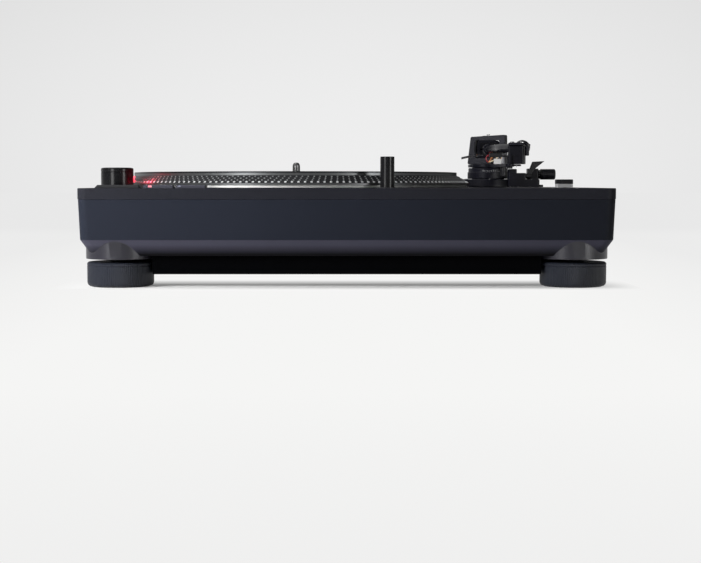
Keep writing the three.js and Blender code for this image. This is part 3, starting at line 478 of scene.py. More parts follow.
def digits(text, size, rise):
    """Plain numbers as a thin plate in the XY plane, about the origin."""
    curve = bpy.data.curves.new("digits", "FONT")
    curve.body = text
    curve.size = size
    curve.extrude = rise / 2
    curve.align_x = curve.align_y = "CENTER"
    curve.resolution_u = 3
    return welded(baked(linked("digits", curve)))


def finish_piece(name, bm, material, body, replaces=(), place=None, sharp=32.0):
    if place is not None:
        placed(bm, place)
    bmesh.ops.scale(bm, vec=(MM, MM, MM), verts=bm.verts[:])
    piece = mesh_object(name, bm)
    mesh = piece.data
    mesh.materials.append(material)
    mesh.shade_smooth()
    mesh.set_sharp_from_angle(angle=math.radians(sharp))
    piece.modifiers.new("Weighted normals", "WEIGHTED_NORMAL").keep_sharp = True
    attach(piece, body)
    if replaces:
        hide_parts(*replaces)


def dress(node, bm, material, place=None, sharp=32.0):
    """A finished piece that stands for one node of the frame."""
    finish_piece(f"{node}_finish", bm, material, BODY_OF[node], (node,), place, sharp)


def trim(name, bm, material, node, place=None):
    """A small finished piece that rides with a node."""
    finish_piece(name, bm, material, BODY_OF[node], (), place)


# Shader groups that several materials use


class Wiring:
    """Short words for adding and joining the nodes of one node tree."""

    def __init__(self, tree):
        self.tree = tree

    def node(self, kind, **values):
        made = self.tree.nodes.new(kind)
        for name, value in values.items():
            setattr(made, name, value)
        return made

    def link(self, source, target):
        """Links a socket to an input, or gives the input a value."""
        if isinstance(source, bpy.types.NodeSocket):
            self.tree.links.new(source, target)
        else:
            target.default_value = source

    def feed(self, node, **sources):
        """Joins or sets inputs, which are named by their words with _ for a space."""
        for name, source in sources.items():
            self.link(source, node.inputs[name.replace("_", " ")])
        return node

    def maths(self, operation, first, *others):
        """One operation on two values, or on each next value in turn."""
        result = first
        for other in others or (0.0,):
            made = self.node("ShaderNodeMath", operation=operation)
            self.link(result, made.inputs[0])
            self.link(other, made.inputs[1])
            result = made.outputs[0]
        return result

    def mixed(self, factor, first, second):
        """Two colours mixed; a Mix node has its colours behind the sockets of its other kinds."""
        made = self.node("ShaderNodeMix", data_type="RGBA")
        factor_socket, first_socket, second_socket, result_socket = 0, 6, 7, 2
        self.link(factor, made.inputs[factor_socket])
        self.link(first, made.inputs[first_socket])
        self.link(second, made.inputs[second_socket])
        return made.outputs[result_socket]

    def spread(self, value, start, end, first, last):
        made = self.node("ShaderNodeMapRange")
        self.feed(made, Value=value, From_Min=start, From_Max=end, To_Min=first, To_Max=last)
        return made.outputs["Result"]

    def noise(self, vector, scale, detail, roughness=0.5):
        made = self.node("ShaderNodeTexNoise")
        return self.feed(made, Vector=vector, Scale=scale, Detail=detail, Roughness=roughness).outputs["Fac"]

    def swing(self, value, amount):
        """A value from 0 to 1 turned to one that varies about 0."""
        return self.maths("MULTIPLY", self.maths("SUBTRACT", value, 0.5), amount)

    def scaled(self, vector, factor):
        made = self.node("ShaderNodeVectorMath", operation="SCALE")
        return self.feed(made, Vector=vector, Scale=factor).outputs["Vector"]

    def bumped(self, strength, distance, height):
        made = self.node("ShaderNodeBump")
        return self.feed(made, Strength=strength, Distance=distance, Height=height)

    def parts(self, vector):
        made = self.node("ShaderNodeSeparateXYZ")
        return self.feed(made, Vector=vector).outputs

    def place(self):
        """The object's own coordinates, X, Y and Z by name."""
        return self.parts(self.node("ShaderNodeTexCoord").outputs["Object"])

    def group(self, name):
        """The group node of a kind that a material holds."""
        return next(n for n in self.tree.nodes if n.type == "GROUP" and n.node_tree.name == name)


VECTORS = ("Vector", "Normal")
COLOURS = ("Color", "Edge")


def group_tree(name, inputs, outputs):
    """A node group, whose sockets have the kind that their names say, or else are numbers."""
    tree = bpy.data.node_groups.new(name, "ShaderNodeTree")
    for way, labels in (("INPUT", inputs), ("OUTPUT", outputs)):
        for label in labels:
            kind = "Vector" if label in VECTORS else "Color" if label in COLOURS else "Float"
            made = tree.interface.new_socket(name=label, in_out=way, socket_type=f"NodeSocket{kind}")
            if way == "INPUT" and inputs[label] is not None:
                made.default_value = inputs[label]
    w = Wiring(tree)
    return w, w.node("NodeGroupInput").outputs, w.node("NodeGroupOutput").inputs


GREY = (0.5, 0.5, 0.5, 1.0)


def grain_tree():
    """Fine grain of paint or moulded plastic: a roughness that varies and a shallow bump."""
    w, start, end = group_tree(
        "fine_grain", {"Vector": None, "Size": 0.0004, "Depth": 0.1, "Roughness": 0.4, "Spread": 0.05},
        ("Roughness", "Normal"))
    speckle = w.noise(start["Vector"], w.maths("DIVIDE", 1.0, start["Size"]), 3.0, 0.6)
    patch = w.noise(start["Vector"], 9.0, 2.0)
    swings = [w.swing(value, start["Spread"]) for value in (patch, speckle)]
    w.link(w.maths("ADD", start["Roughness"], *swings), end["Roughness"])
    w.link(w.bumped(start["Depth"], 0.0002, speckle).outputs["Normal"], end["Normal"])


def tone_tree():
    """Slow change of tone over a surface, with fine specks of the metal flake in the paint."""
    w, start, end = group_tree("soft_tone", {"Vector": None, "Color": GREY, "Amount": 0.15, "Flake": 0.0},
                               ("Color",))
    cloud = w.swing(w.noise(start["Vector"], 14.0, 4.0, 0.55), start["Amount"])
    specks = w.feed(w.node("ShaderNodeTexVoronoi"), Vector=start["Vector"], Scale=1400.0)
    flake = w.maths("MULTIPLY", w.spread(specks.outputs["Distance"], 0.18, 0.05, 0.0, 1.0), start["Flake"])
    light = w.maths("ADD", 1.0, w.maths("MULTIPLY", cloud, 2.0), flake)
    w.link(w.scaled(start["Color"], light), end["Color"])


def edge_tree():
    """Lighter edges, found by a small rounding of the surface: mostly a painted highlight where edges catch the
    light, broken up like slight wear.
    """
    w, start, end = group_tree("edge_shine", {"Color": GREY, "Edge": GREY, "Amount": 0.3, "Vector": None},
                               ("Color",))
    rounding = w.feed(w.node("ShaderNodeBevel", samples=4), Radius=0.0006)
    facing = w.node("ShaderNodeVectorMath", operation="DOT_PRODUCT")
    w.link(rounding.outputs["Normal"], facing.inputs[0])
    w.link(w.node("ShaderNodeNewGeometry").outputs["Normal"], facing.inputs[1])
    rim = w.spread(facing.outputs["Value"], 0.995, 0.9, 0.0, 1.0)
    broken = w.spread(w.noise(start["Vector"], 160.0, 3.0), 0.35, 0.7, 0.35, 1.0)
    share_of_edge = w.maths("MULTIPLY", rim, broken, start["Amount"])
    w.link(w.mixed(share_of_edge, start["Color"], start["Edge"]), end["Color"])


def turning_tree():
    """Fine rings that a lathe leaves, about the vector's Z axis."""
    w, start, end = group_tree(
        "turning_rings", {"Vector": None, "Pitch": 0.0006, "Depth": 0.2, "Roughness": 0.3},
        ("Roughness", "Normal"))
    place = w.parts(start["Vector"])
    radius = w.maths("SQRT", w.maths("ADD", *[w.maths("MULTIPLY", place[way], place[way]) for way in "XY"]))
    grooves = w.feed(w.node("ShaderNodeCombineXYZ"), X=w.maths("DIVIDE", radius, start["Pitch"]),
                     Y=w.maths("DIVIDE", place["Z"], start["Pitch"]))
    lines = w.noise(grooves.outputs[0], 1.0, 2.0)
    w.link(w.maths("ADD", start["Roughness"], w.swing(lines, 0.2)), end["Roughness"])
    w.link(w.bumped(start["Depth"], 0.0001, lines).outputs["Normal"], end["Normal"])


GROUP_MAKERS = {"fine_grain": grain_tree, "soft_tone": tone_tree, "edge_shine": edge_tree,
                "turning_rings": turning_tree}


def grouped(w, name, **sources):
    """A group node with its inputs fed. The group itself is made the first time that it is used."""
    if name not in bpy.data.node_groups:
        GROUP_MAKERS[name]()
    return w.feed(w.node("ShaderNodeGroup", node_tree=bpy.data.node_groups[name]), **sources).outputs


# Materials


MATERIALS = {}


def surface(name, base, roughness, metallic=0.0, tone=0.15, flake=0.0, grain=0.0004, depth=0.12, edge=None,
            edge_amount=0.35, specular=0.5, centre=None, pitch=0.0006, turn=(0.0, 0.0, 0.0)):
    """A material whose colour, roughness and bump come from the shared groups."""
    if name in MATERIALS:
        return MATERIALS[name]
    material = MATERIALS[name] = bpy.data.materials.new(name)
    material.use_nodes = True
    material.diffuse_color = (*base, 1.0)
    w = Wiring(material.node_tree)
    vector = w.node("ShaderNodeTexCoord").outputs["Object"]
    tint = grouped(w, "soft_tone", Vector=vector, Color=(*base, 1.0), Amount=tone, Flake=flake)["Color"]
    # The edge colour is mostly a painted highlight on the edges, with slight wear.
    if edge:
        tint = grouped(w, "edge_shine", Vector=vector, Color=tint, Edge=(*edge, 1.0),
                       Amount=edge_amount)["Color"]
    if centre is None:
        fine = grouped(w, "fine_grain", Vector=vector, Size=grain, Depth=depth, Roughness=roughness,
                       Spread=0.08)
    else:
        mapping = w.feed(w.node("ShaderNodeMapping", vector_type="TEXTURE"), Vector=vector,
                         Location=Vector(centre) * MM, Rotation=turn)
        fine = grouped(w, "turning_rings", Vector=mapping.outputs[0], Pitch=pitch, Depth=depth,
                       Roughness=roughness)
    w.feed(w.tree.nodes["Principled BSDF"], Base_Color=tint, Metallic=metallic, Specular_IOR_Level=specular,
           Roughness=fine["Roughness"], Normal=fine["Normal"])
    return material


# The finishes that need no more than a row: their colour or its setting, their roughness, and what differs
# from a plain surface
FINISHES = {
    "deck_satin_black": ("body.deck_colour", 0.45, {
        "flake": 0.8, "tone": 0.12, "grain": 0.00035, "depth": 0.22, "edge": (0.06, 0.06, 0.075),
        "specular": 0.06}),
    "cabinet_blue_black": ("body.face_colour", 0.55, {
        "flake": 0.3, "tone": 0.06, "grain": 0.0003, "depth": 0.08, "edge": (0.05, 0.05, 0.065),
        "edge_amount": 0.25, "specular": 0.07}),
    "base_rubber": ("body.base_colour", 0.85, {
        "tone": 0.3, "grain": 0.0009, "depth": 0.35, "specular": 0.03}),
    "foot_moulding": ("body.foot_colour", 0.44, {
        "tone": 0.1, "grain": 0.0005, "depth": 0.2, "edge": (0.07, 0.07, 0.09), "edge_amount": 0.3,
        "specular": 0.22}),
    "platter_diecast": ("platter.metal_colour", 0.34, {
        "metallic": 0.85, "tone": 0.1, "depth": 0.2, "pitch": 0.0005, "edge": (0.5, 0.5, 0.5),
        "edge_amount": 0.25}),
    "platter_dark_ground": ("platter.bevel_colour", 0.3, {
        "tone": 0.1, "depth": 0.1, "specular": 0.1, "pitch": 0.0005}),
    # Near-white finish of the ring under the platter's lip: a painted highlight.
    "platter_edge_painted_sheen": ((0.9, 0.9, 0.88), 0.38, {
        "metallic": 0.1, "tone": 0.1, "depth": 0.1, "pitch": 0.0005}),
    "strobe_dot_metal": ("platter.dot_colour", 0.36, {"metallic": 0.6, "tone": 0.1, "depth": 0.05}),
    "mat_rubber": ("platter.mat_colour", 0.72, {
        "tone": 0.25, "grain": 0.0007, "depth": 0.25, "specular": 0.3}),
    "spindle_steel": ((0.22, 0.22, 0.22), 0.36, {
        "metallic": 0.9, "tone": 0.06, "depth": 0.15, "pitch": 0.0003}),
    "key_plastic": ("controls.key_colour", 0.38, {
        "tone": 0.1, "edge": (0.12, 0.12, 0.15), "edge_amount": 0.5, "specular": 0.3}),
    "speed_key_plastic": ((0.035, 0.035, 0.05), 0.45, {
        "tone": 0.1, "edge": (0.12, 0.12, 0.15), "edge_amount": 0.4}),
    "gloss_plastic": ("controls.gloss_colour", 0.2, {
        "tone": 0.1, "grain": 0.0008, "depth": 0.02, "specular": 0.25}),
    "moulded_plastic": ((0.0085, 0.0085, 0.0105), 0.45, {
        "tone": 0.2, "grain": 0.0005, "depth": 0.18, "edge": (0.04, 0.04, 0.045), "edge_amount": 0.3}),
    "print_ink": ("controls.print_colour", 0.55, {"tone": 0.12, "grain": 0.0002, "depth": 0.05}),
    "scale_plate_black": ((0.012, 0.012, 0.015), 0.4, {"tone": 0.1, "grain": 0.0003, "depth": 0.1}),
    "fader_skirt_metal": ((0.5, 0.5, 0.51), 0.35, {"metallic": 0.3, "tone": 0.06, "depth": 0.08}),
    "indicator_clear": ((0.2, 0.21, 0.27), 0.15, {"tone": 0.05, "depth": 0.02}),
    "target_lens": ((0.45, 0.47, 0.42), 0.12, {"tone": 0.05, "depth": 0.02}),
    "arm_satin_metal": ("arm.metal_colour", 0.36, {
        "metallic": 0.25, "tone": 0.12, "grain": 0.0003, "depth": 0.1, "edge": (0.05, 0.05, 0.06),
        "edge_amount": 0.4, "specular": 0.25}),
    "arm_base_paint": ("arm.metal_colour", 0.42, {
        "flake": 0.3, "tone": 0.12, "grain": 0.00035, "depth": 0.15, "edge": (0.05, 0.05, 0.06),
        "specular": 0.25}),
    "arm_tube_anodised": ("arm.tube_colour", 0.26, {
        "metallic": 0.2, "tone": 0.08, "grain": 0.0002, "depth": 0.06, "specular": 0.3}),
    "bright_steel": ("arm.steel_colour", 0.24, {"metallic": 1.0, "tone": 0.06, "depth": 0.15}),
    "counterweight_metal": ((0.014, 0.014, 0.017), 0.3, {
        "metallic": 0.5, "tone": 0.1, "depth": 0.2, "pitch": 0.0005, "edge": (0.1, 0.1, 0.11),
        "edge_amount": 0.4}),
    "lifter_satin": ((0.3, 0.3, 0.32), 0.5, {"tone": 0.08, "depth": 0.06}),
    "cartridge_plastic": ((0.0035, 0.0035, 0.006), 0.35, {
        "tone": 0.1, "grain": 0.0005, "depth": 0.06, "edge": (0.03, 0.03, 0.04), "edge_amount": 0.3,
        "specular": 0.15}),
    "stylus_metal": ((0.42, 0.42, 0.42), 0.3, {"metallic": 0.9, "tone": 0.08, "depth": 0.05}),
    "terminal_white": ((0.95, 0.94, 0.92), 0.5, {"tone": 0.08, "depth": 0.05}),
    "left_channel_plastic": ((0.62, 0.6, 0.56), 0.35, {"tone": 0.08, "depth": 0.05}),
    "right_channel_plastic": ((0.5, 0.02, 0.02), 0.35, {"tone": 0.08, "depth": 0.05}),
    "board_green": ((0.01, 0.07, 0.03), 0.5, {"tone": 0.3, "grain": 0.0008, "depth": 0.1}),
    "coil_copper": ((0.33, 0.11, 0.04), 0.35, {"metallic": 0.9, "tone": 0.2, "grain": 0.0006, "depth": 0.3}),
    "magnet_iron": ((0.05, 0.05, 0.055), 0.6, {"metallic": 0.2, "tone": 0.2, "grain": 0.0009, "depth": 0.3}),
    "cast_aluminium": ((0.4, 0.4, 0.42), 0.4, {"metallic": 0.9, "tone": 0.1, "grain": 0.0006, "depth": 0.15}),
    **{f"lead_{name}": (tint, 0.42, {"tone": 0.12, "depth": 0.06}) for name, tint in {
        "red": (0.24, 0.02, 0.03), "white": (0.75, 0.62, 0.42), "green": (0.02, 0.16, 0.05),
        "blue": (0.02, 0.05, 0.3), "amber": (0.62, 0.24, 0.09)}.items()},
}


def finish(name, alias=None, **more):
    """The material of a row, under another name where a piece needs its own."""
    base, roughness, values = FINISHES[name]
    if isinstance(base, str):
        group, key = base.split(".")
        base = getattr(group_of(group), key)
    return surface(alias or name, base, roughness, **values, **more)


def glowing(name, base, glow, strength):
    """A lit lens: the shader's own glow over a moulded surface."""
    material = surface(name, base, 0.12, tone=0.05, depth=0.02)
    w = Wiring(material.node_tree)
    cells = w.noise(w.node("ShaderNodeTexCoord").outputs["Object"], 420.0, 1.0)
    w.feed(w.tree.nodes["Principled BSDF"], Emission_Strength=strength,
           Emission_Color=w.scaled(tuple(glow), w.spread(cells, 0.3, 0.7, 0.75, 1.0)))
    return material


def from_foot(w, place):
    """X and Y of a place from the upright line through the nearest foot."""
    foot = pivot("foot_rear_right_turn") * MM
    return [w.maths("SUBTRACT", w.maths("ABSOLUTE", place[way]), getattr(foot, way.lower())) for way in "XY"]


def face_paint():
    """The cabinet's paint. Above the foot line it is darkened towards its right end, painted shade where less of
    the lamp's light falls. Below the foot line, off the bosses, it turns lighter, a painted reflection of the
    floor, and darkens to painted shade towards the bottom edge.
    """
    body = group_of("body")
    material = finish("cabinet_blue_black")
    w = Wiring(material.node_tree)
    place = w.place()
    top, radius = body.chamfer_top, body.boss_radius
    lower = w.spread(place["Z"], top + 0.2 * MM, top - 0.4 * MM, 0.0, 1.0)
    squares = [w.maths("MULTIPLY", part, part) for part in from_foot(w, place)]
    distance = w.maths("SQRT", w.maths("ADD", *squares))
    off_boss = w.spread(distance, radius + 0.1 * MM, radius + 0.6 * MM, 0.0, 1.0)
    # Darkening towards the foot line's bottom edge, off the bosses: painted shade of the undercut.
    fall = w.spread(place["Z"], top - 4 * MM, body.chamfer_bottom + 1.5 * MM, 0.0, 1.0)
    shade_fade = w.maths("MULTIPLY", off_boss, fall)
    w.feed(w.tree.nodes["Principled BSDF"], Specular_IOR_Level=w.spread(off_boss, 0.0, 1.0, 0.5, 0.07))
    w.feed(w.group("fine_grain"), Roughness=w.spread(off_boss, 0.0, 1.0, 0.34, 0.55))
    # The face's own colour is kept at its left end and dimmed at its right end: painted shade, not a change of
    # paint.
    shade, lit = (0.002, 0.002, 0.003, 1.0), (*body.face_colour, 1.0)
    dim = (*(body.face_dim * part for part in body.face_colour), 1.0)
    # Below the foot line the bosses keep their paint. Elsewhere the painted floor reflection darkens to the
    # near-black painted shade towards the bottom.
    below = w.mixed(off_boss, (*body.boss_colour, 1.0), w.mixed(shade_fade, (*body.foot_line_colour, 1.0), shade))
    face = w.mixed(w.spread(place["X"], -0.1, 0.22, 0.0, 1.0), lit, dim)
    w.feed(w.group("soft_tone"), Color=w.mixed(lower, face, below))
    return material


def foot_moulding():
    """The feet's plastic with fine upright ribs, duller on the far left where the lamp would catch it."""
    if "foot_moulding" in MATERIALS:
        return MATERIALS["foot_moulding"]
    material = finish("foot_moulding")
    w = Wiring(material.node_tree)
    place = w.place()
    x, y = from_foot(w, place)
    rib_count = 110.0
    wave = w.maths("SINE", w.maths("MULTIPLY", w.maths("ARCTAN2", y, x), rib_count))
    shader = w.tree.nodes["Principled BSDF"]
    ribs = w.feed(w.bumped(0.5, 0.0003, wave), Normal=shader.inputs["Normal"].links[0].from_socket)
    w.feed(shader, Normal=ribs.outputs["Normal"],
           Specular_IOR_Level=w.spread(place["X"], -0.225, -0.195, 0.1, 0.24))
    return material


def platter_metal(centre, top):
    """The platter's metal, dark at its topmost line."""
    platter = group_of("platter")
    material = finish("platter_diecast", centre=centre)
    w = Wiring(material.node_tree)
    line = w.spread(w.place()["Z"], (top - 1.6) * MM, (top - 1.0) * MM, 0.0, 0.85)
    w.feed(w.group("soft_tone"),
           Color=w.mixed(line, (*platter.metal_colour, 1.0), (*platter.bevel_colour, 1.0)))
    return material


# Body


def deck_openings(top, depth):
    """Cutters for the keys, the round openings and the fader's plate and slot."""
    controls = sizes("controls")
    gap, flare = 0.4, 0.2
    cutters = []
    for node in ("start_stop_button", "speed_33_button", "speed_45_button"):
        cap = Node(node)
        wide, deep = cap.size.x + 2 * gap, cap.size.y + 2 * gap
        cutters.append(placed(block((wide, deep, 2 * depth), 1.5), (cap.middle.x, cap.middle.y, top)))
        mouth = block((wide + 2 * flare, deep + 2 * flare, 2 * flare), 1.8)
        cutters.append(placed(mouth, (cap.middle.x, cap.middle.y, top + flare / 2)))
    guide, key = Node("target_light_guide"), Node("target_light_button")
    round_holes = ((guide.middle, guide.radius + 0.2, 48), (key.middle, key.radius + gap, 48),
                   (pivot("power_knob_turn"), 8, 32), (pivot("arm_swing"), sizes("arm").bore, 64))
    cutters += [placed(rod(radius, -depth, depth, steps), (spot.x, spot.y, top))
                for spot, radius, steps in round_holes]
    plate = Node("pitch_scale_plate")
    for room, corner in (((plate.size.x + 2 * gap, plate.size.y + 2 * gap, 2.6), 1.2),
                         ((controls.slot_width, controls.slot_length, 2 * depth), 1.9)):
        cutters.append(placed(block(room, corner), (plate.middle.x, plate.middle.y, top)))
    return cutters


def build_deck():
    body = sizes("body")
    deck = Node("deck_panel")
    top, bottom = deck.high.z, Node("cabinet").high.z + 0.05
    slab = block_in((deck.low.x, deck.low.y, bottom), deck.high, body.corner)
    soften(slab, body.edge, 3, choose=higher_than(top - 1))
    centre = plan(pivot("platter_spin"))
    floor, above, rim = top - body.well_depth, top + body.wall, body.well_radius + body.edge
    pan = rod(body.well_radius + body.well_wall, deck.low.z, top - 2 * body.edge, 128)
    well = turned([(0.0, floor), (body.well_radius, floor), (body.well_radius, top - body.edge), (rim, top),
                   (rim, above), (0.0, above)], 128)
    bearing = rod(16, deck.low.z - body.wall, floor + body.wall, 48)
    solid = combined(fused(slab, placed(pan, centre)), placed(well, centre), placed(bearing, centre))
    solid = carved(solid, deck_openings(top, top - bottom + body.wall))
    dress("deck_panel", solid, finish("deck_satin_black"))


def build_cabinet():
    body = sizes("body")
    cabinet = Node("cabinet")
    width, depth = cabinet.size.x, cabinet.size.y
    draft, inset, wall = body.face_draft, body.face_draft + body.chamfer_inset, body.wall

    def drawn_in(corners, height, before, after):
        """Moves corners to a height, and from one inset to the next."""
        for v in corners:
            v.co.x *= (width - 2 * after) / (width - 2 * before)
            v.co.y *= (depth - 2 * after) / (depth - 2 * before)
            v.co.z = height

    def room(inwards, start, end, corner):
        x, y = width / 2 - inwards, depth / 2 - inwards
        return block_in((-x, -y, start), (x, y, end), corner)

    outer = block((width, depth, depth), body.corner, corner_steps=10)
    upper = {v for v in outer.verts if v.co.z > 0}
    lower = {v for v in outer.verts if v.co.z < 0}
    drawn_in(upper, cabinet.high.z, 0.0, 0.0)
    drawn_in(lower, body.chamfer_top, 0.0, draft)
    floor_face = min(outer.faces, key=lambda f: f.calc_center_median().z)
    made = bmesh.ops.extrude_face_region(outer, geom=[floor_face])["geom"]
    if floor_face.is_valid:
        bmesh.ops.delete(outer, geom=[floor_face], context="FACES_ONLY")
    drawn_in([v for v in made if isinstance(v, bmesh.types.BMVert)], body.chamfer_bottom, draft, inset)
    soften(faces_out(outer), 0.5, sharp=25.0)
    solid_edge = 17
    upper_room = room(draft + wall, body.chamfer_top, cabinet.high.z + wall, body.corner - wall)
    lower_room = room(inset + solid_edge, body.chamfer_bottom - wall, body.chamfer_top + wall, body.corner)
    shell = combined(outer, upper_room, lower_room)
    for name in FEET:
        spot = plan(pivot(f"foot_{name}_turn"))
        boss = rod(body.boss_radius, cabinet.low.z, body.chamfer_top + 2, 96, 0.5)
        hole = rod(4.3, cabinet.low.z - wall, body.chamfer_top + wall, 24)
        shell = combined(fused(shell, placed(boss, spot)), placed(hole, spot))
    gap = 0.3
    for node in (Node("terminal_tray"), Node("power_inlet")):
        shell = combined(shell, block_in((node.low.x - gap, node.low.y, node.low.z - gap),
                                         (node.high.x + gap, cabinet.high.y + wall, node.high.z + gap)))
    dress("cabinet", shell, face_paint())


def build_base():
    body = sizes("body")
    base = Node("rubber_base")
    slab = block_in(base.low, base.high, body.corner, 1.6, edge_steps=3)
    well = (body.boss_radius + 3.3, base.low.z - body.wall, base.high.z + body.wall, 96)
    wells = [placed(rod(*well), plan(pivot(f"foot_{name}_turn"))) for name in FEET]
    groove, step, margin = 1.2, 46, 40
    grooves = [block_in((i * step - groove, base.low.y + margin, base.low.z - groove),
                        (i * step + groove, base.high.y - margin, base.low.z + groove)) for i in range(-3, 4)]
    dress("rubber_base", carved(slab, wells + grooves), finish("base_rubber"))


def build_feet():
    """Four feet, each with its sole and its threaded stud."""
    top, stud, pitch = sizes("body").foot_height, 4, 1.25
    groove = top - 3.1
    for name in FEET:
        foot = Node(f"foot_{name}")
        radius = foot.radius
        profile = [
            (0.0, 1.2), (radius - 9, 1.2), (radius - 9, 0.0), (radius - 3.4, 0.0), (radius - 3.4, 0.6),
            (radius - 1.6, 0.6), (radius - 0.5, 1.8), (radius, 3.4), (radius, groove - 0.25),
            (radius - 0.45, groove), (radius, groove + 0.25), (radius, top - 1.2), (radius - 1.2, top),
            (stud + 3, top), (stud + 2, top + 0.4), (stud, top + 0.4),
        ]
        z = top + 0.6
        while z < foot.high.z - pitch:
            profile += [(stud, z), (stud - 0.5, z + pitch / 2)]
            z += pitch
        profile += [(stud - 0.6, foot.high.z), (0.0, foot.high.z)]
        dress(f"foot_{name}", turned(eased(profile, 0.3, 2), 128), foot_moulding(), plan(foot.middle), 40.0)


# Platter


PLATTER_STEPS = 240


def strobe_dots(rows, start, slope, lean):
    """Rows of dots up the bevel, each turned by half a dot against the one below."""
    platter = sizes("platter")
    dots = bmesh.new()
    for row in rows:
        foot = start + slope * (0.05 + 0.9 * (row + 0.5) / platter.rows)
        number = platter.first_row + row * platter.row_step
        size = platter.dot_radius * (0.9 if row else 1.35)
        for i in range(number):
            turn = Matrix.Rotation(FULL_TURN * (i + row / 2) / number, 4, "Z")
            bmesh.ops.create_cone(dots, cap_ends=True, segments=10, radius1=size, radius2=size * 0.72,
                                  depth=platter.dot_height * 2,
                                  matrix=turn @ turn_at((foot.x, 0.0, foot.y), lean, "Y"))
    return dots


def build_platter():
    platter = sizes("platter")
    node, mat = Node("platter"), Node("mat")
    spot = plan(pivot("platter_spin"))
    radius, top = node.radius, node.high.z
    lip_bottom = Node("deck_panel").high.z + 2.6
    bevel_foot, bevel_head = lip_bottom + platter.lip, top - platter.rim_rise
    bevel_radius = platter.top_radius + 0.6
    disc_bottom, hub_bottom = top - platter.disc, Node("bearing_housing").high.z + 0.3
    inner_skirt = platter.skirt_radius - platter.skirt_wall
    mat_radius, mat_floor = mat.radius + 0.3, mat.low.z - 0.3
    solid = hollow([
        (platter.bore, hub_bottom), (platter.hub_radius, hub_bottom), (platter.hub_radius, disc_bottom),
        (inner_skirt, disc_bottom), (inner_skirt, node.low.z), (platter.skirt_radius, node.low.z),
        (platter.skirt_radius, lip_bottom), (radius, lip_bottom), (radius, bevel_foot),
        (bevel_radius, bevel_head), (platter.top_radius, bevel_head), (platter.top_radius, top),
        (mat_radius, top), (mat_radius, mat_floor), (platter.bore, mat_floor),
    ], 0.35, PLATTER_STEPS)
    dress("platter", solid, platter_metal(spot, top), spot)
    start = Vector((radius, bevel_foot))
    slope = Vector((bevel_radius, bevel_head)) - start
    outward = Vector((slope.y, -slope.x)).normalized()
    skin = 0.06 * outward
    first, last = start + slope * 0.02, start + slope * 0.98
    band = turned([first + skin, last + skin, last - skin, first - skin], PLATTER_STEPS, closed=True)
    trim("platter_strobe_ground", band, finish("platter_dark_ground", centre=spot), "platter", place=spot)
    lean = math.atan2(outward.x, outward.y)
    low_dots = strobe_dots([0], start, slope, lean)
    trim("platter_strobe_dots_low", low_dots, finish("strobe_dot_metal"), "platter", place=spot)
    # The higher rows take a darker copy of the dots' metal: painted shade. Only the lowest row keeps the dots' own
    # colour.
    shade_dimmed_colour = tuple(part * 0.4 for part in platter.dot_colour)
    dim = surface("strobe_dot_painted_shade", shade_dimmed_colour, 0.4, metallic=0.6, tone=0.1, depth=0.05)
    high_dots = strobe_dots(range(1, platter.rows), start, slope, lean)
    trim("platter_strobe_dots", high_dots, dim, "platter", place=spot)
    # A near-white ring under the lip: a painted highlight standing in for the bright reflection there.
    strip = ring(platter.strip_radius, platter.strip_radius - platter.lip / 2, lip_bottom - 2.1, lip_bottom,
                 PLATTER_STEPS)
    trim("platter_painted_sheen_strip", strip, finish("platter_edge_painted_sheen", centre=spot), "platter", place=spot)


def build_mat():
    platter, mat = sizes("platter"), Node("mat")
    label, top = 52, mat.high.z
    trough, half = top - platter.ring_depth, platter.ring_pitch * 0.14
    profile = [(platter.bore, mat.low.z), (mat.radius, mat.low.z), (mat.radius, top)]
    edge = mat.radius - 2.4
    while edge - platter.ring_pitch > label:
        profile += [(edge, top), (edge - half, trough), (edge - 3 * half, trough), (edge - 4 * half, top)]
        edge -= platter.ring_pitch
    profile += [(label, top), (label - half, trough), (platter.bore, trough),
                (platter.bore, (mat.low.z + trough) / 2)]
    dress("mat", turned(profile, 160, closed=True), finish("mat_rubber"), plan(mat.middle), 25.0)


def build_spindle():
    spindle = Node("spindle")
    radius, top, spot = spindle.radius, spindle.high.z, plan(spindle.middle)
    profile = [(0.0, spindle.low.z), (radius, spindle.low.z), (radius, top - 3.2), (radius - 0.5, top - 1.4),
               (radius - 1.6, top - 0.2), (0.0, top)]
    dress("spindle", turned(eased(profile, 0.8), 48), finish("spindle_steel", centre=spot), spot)


# Controls


def cap_shape(node, edge, dish=0.0):
    """A key's cap with a bevelled edge, and a shallow dish where it has one."""
    cap = Node(node)
    top, bottom = cap.high.z, cap.high.z - 8.7
    shape = block_in((cap.low.x, cap.low.y, bottom), cap.high, edge + 0.3)
    soften(shape, edge, 1, choose=higher_than(top - 1))
    soften(shape, 0.25, choose=higher_than(top - edge - 0.1))
    soften(shape, 0.3, 1, choose=lambda e: max(v.co.z for v in e.verts) < bottom + 1)
    if dish:
        face = max(shape.faces, key=lambda f: (round(f.calc_center_median().z, 3), f.calc_area()))
        bmesh.ops.inset_region(shape, faces=[face], thickness=1.2, depth=0.0)
        bmesh.ops.inset_region(shape, faces=[face], thickness=0.5, depth=-dish)
    return shape


def build_start_button():
    controls, cap = sizes("controls"), Node("start_stop_button")
    dress("start_stop_button", cap_shape("start_stop_button", controls.cap_edge, controls.cap_dish),
          finish("key_plastic"))
    size, rise = controls.icon_size, controls.print_rise
    side, back, tip = size * 0.4, size * 0.35, size * 0.5
    arrow = extruded([(-back, -tip), (tip, 0.0), (-back, tip)], rise)
    square = extruded([(-side, -side), (side, -side), (side, side), (-side, side)], rise)
    signs = joined(placed(arrow, (-size * 0.7, 0, 0)), placed(square, (size * 0.7, 0, 0)))
    trim("start_stop_signs", signs, finish("print_ink"), "start_stop_button",
         (cap.middle.x, cap.middle.y, cap.high.z - controls.cap_dish))


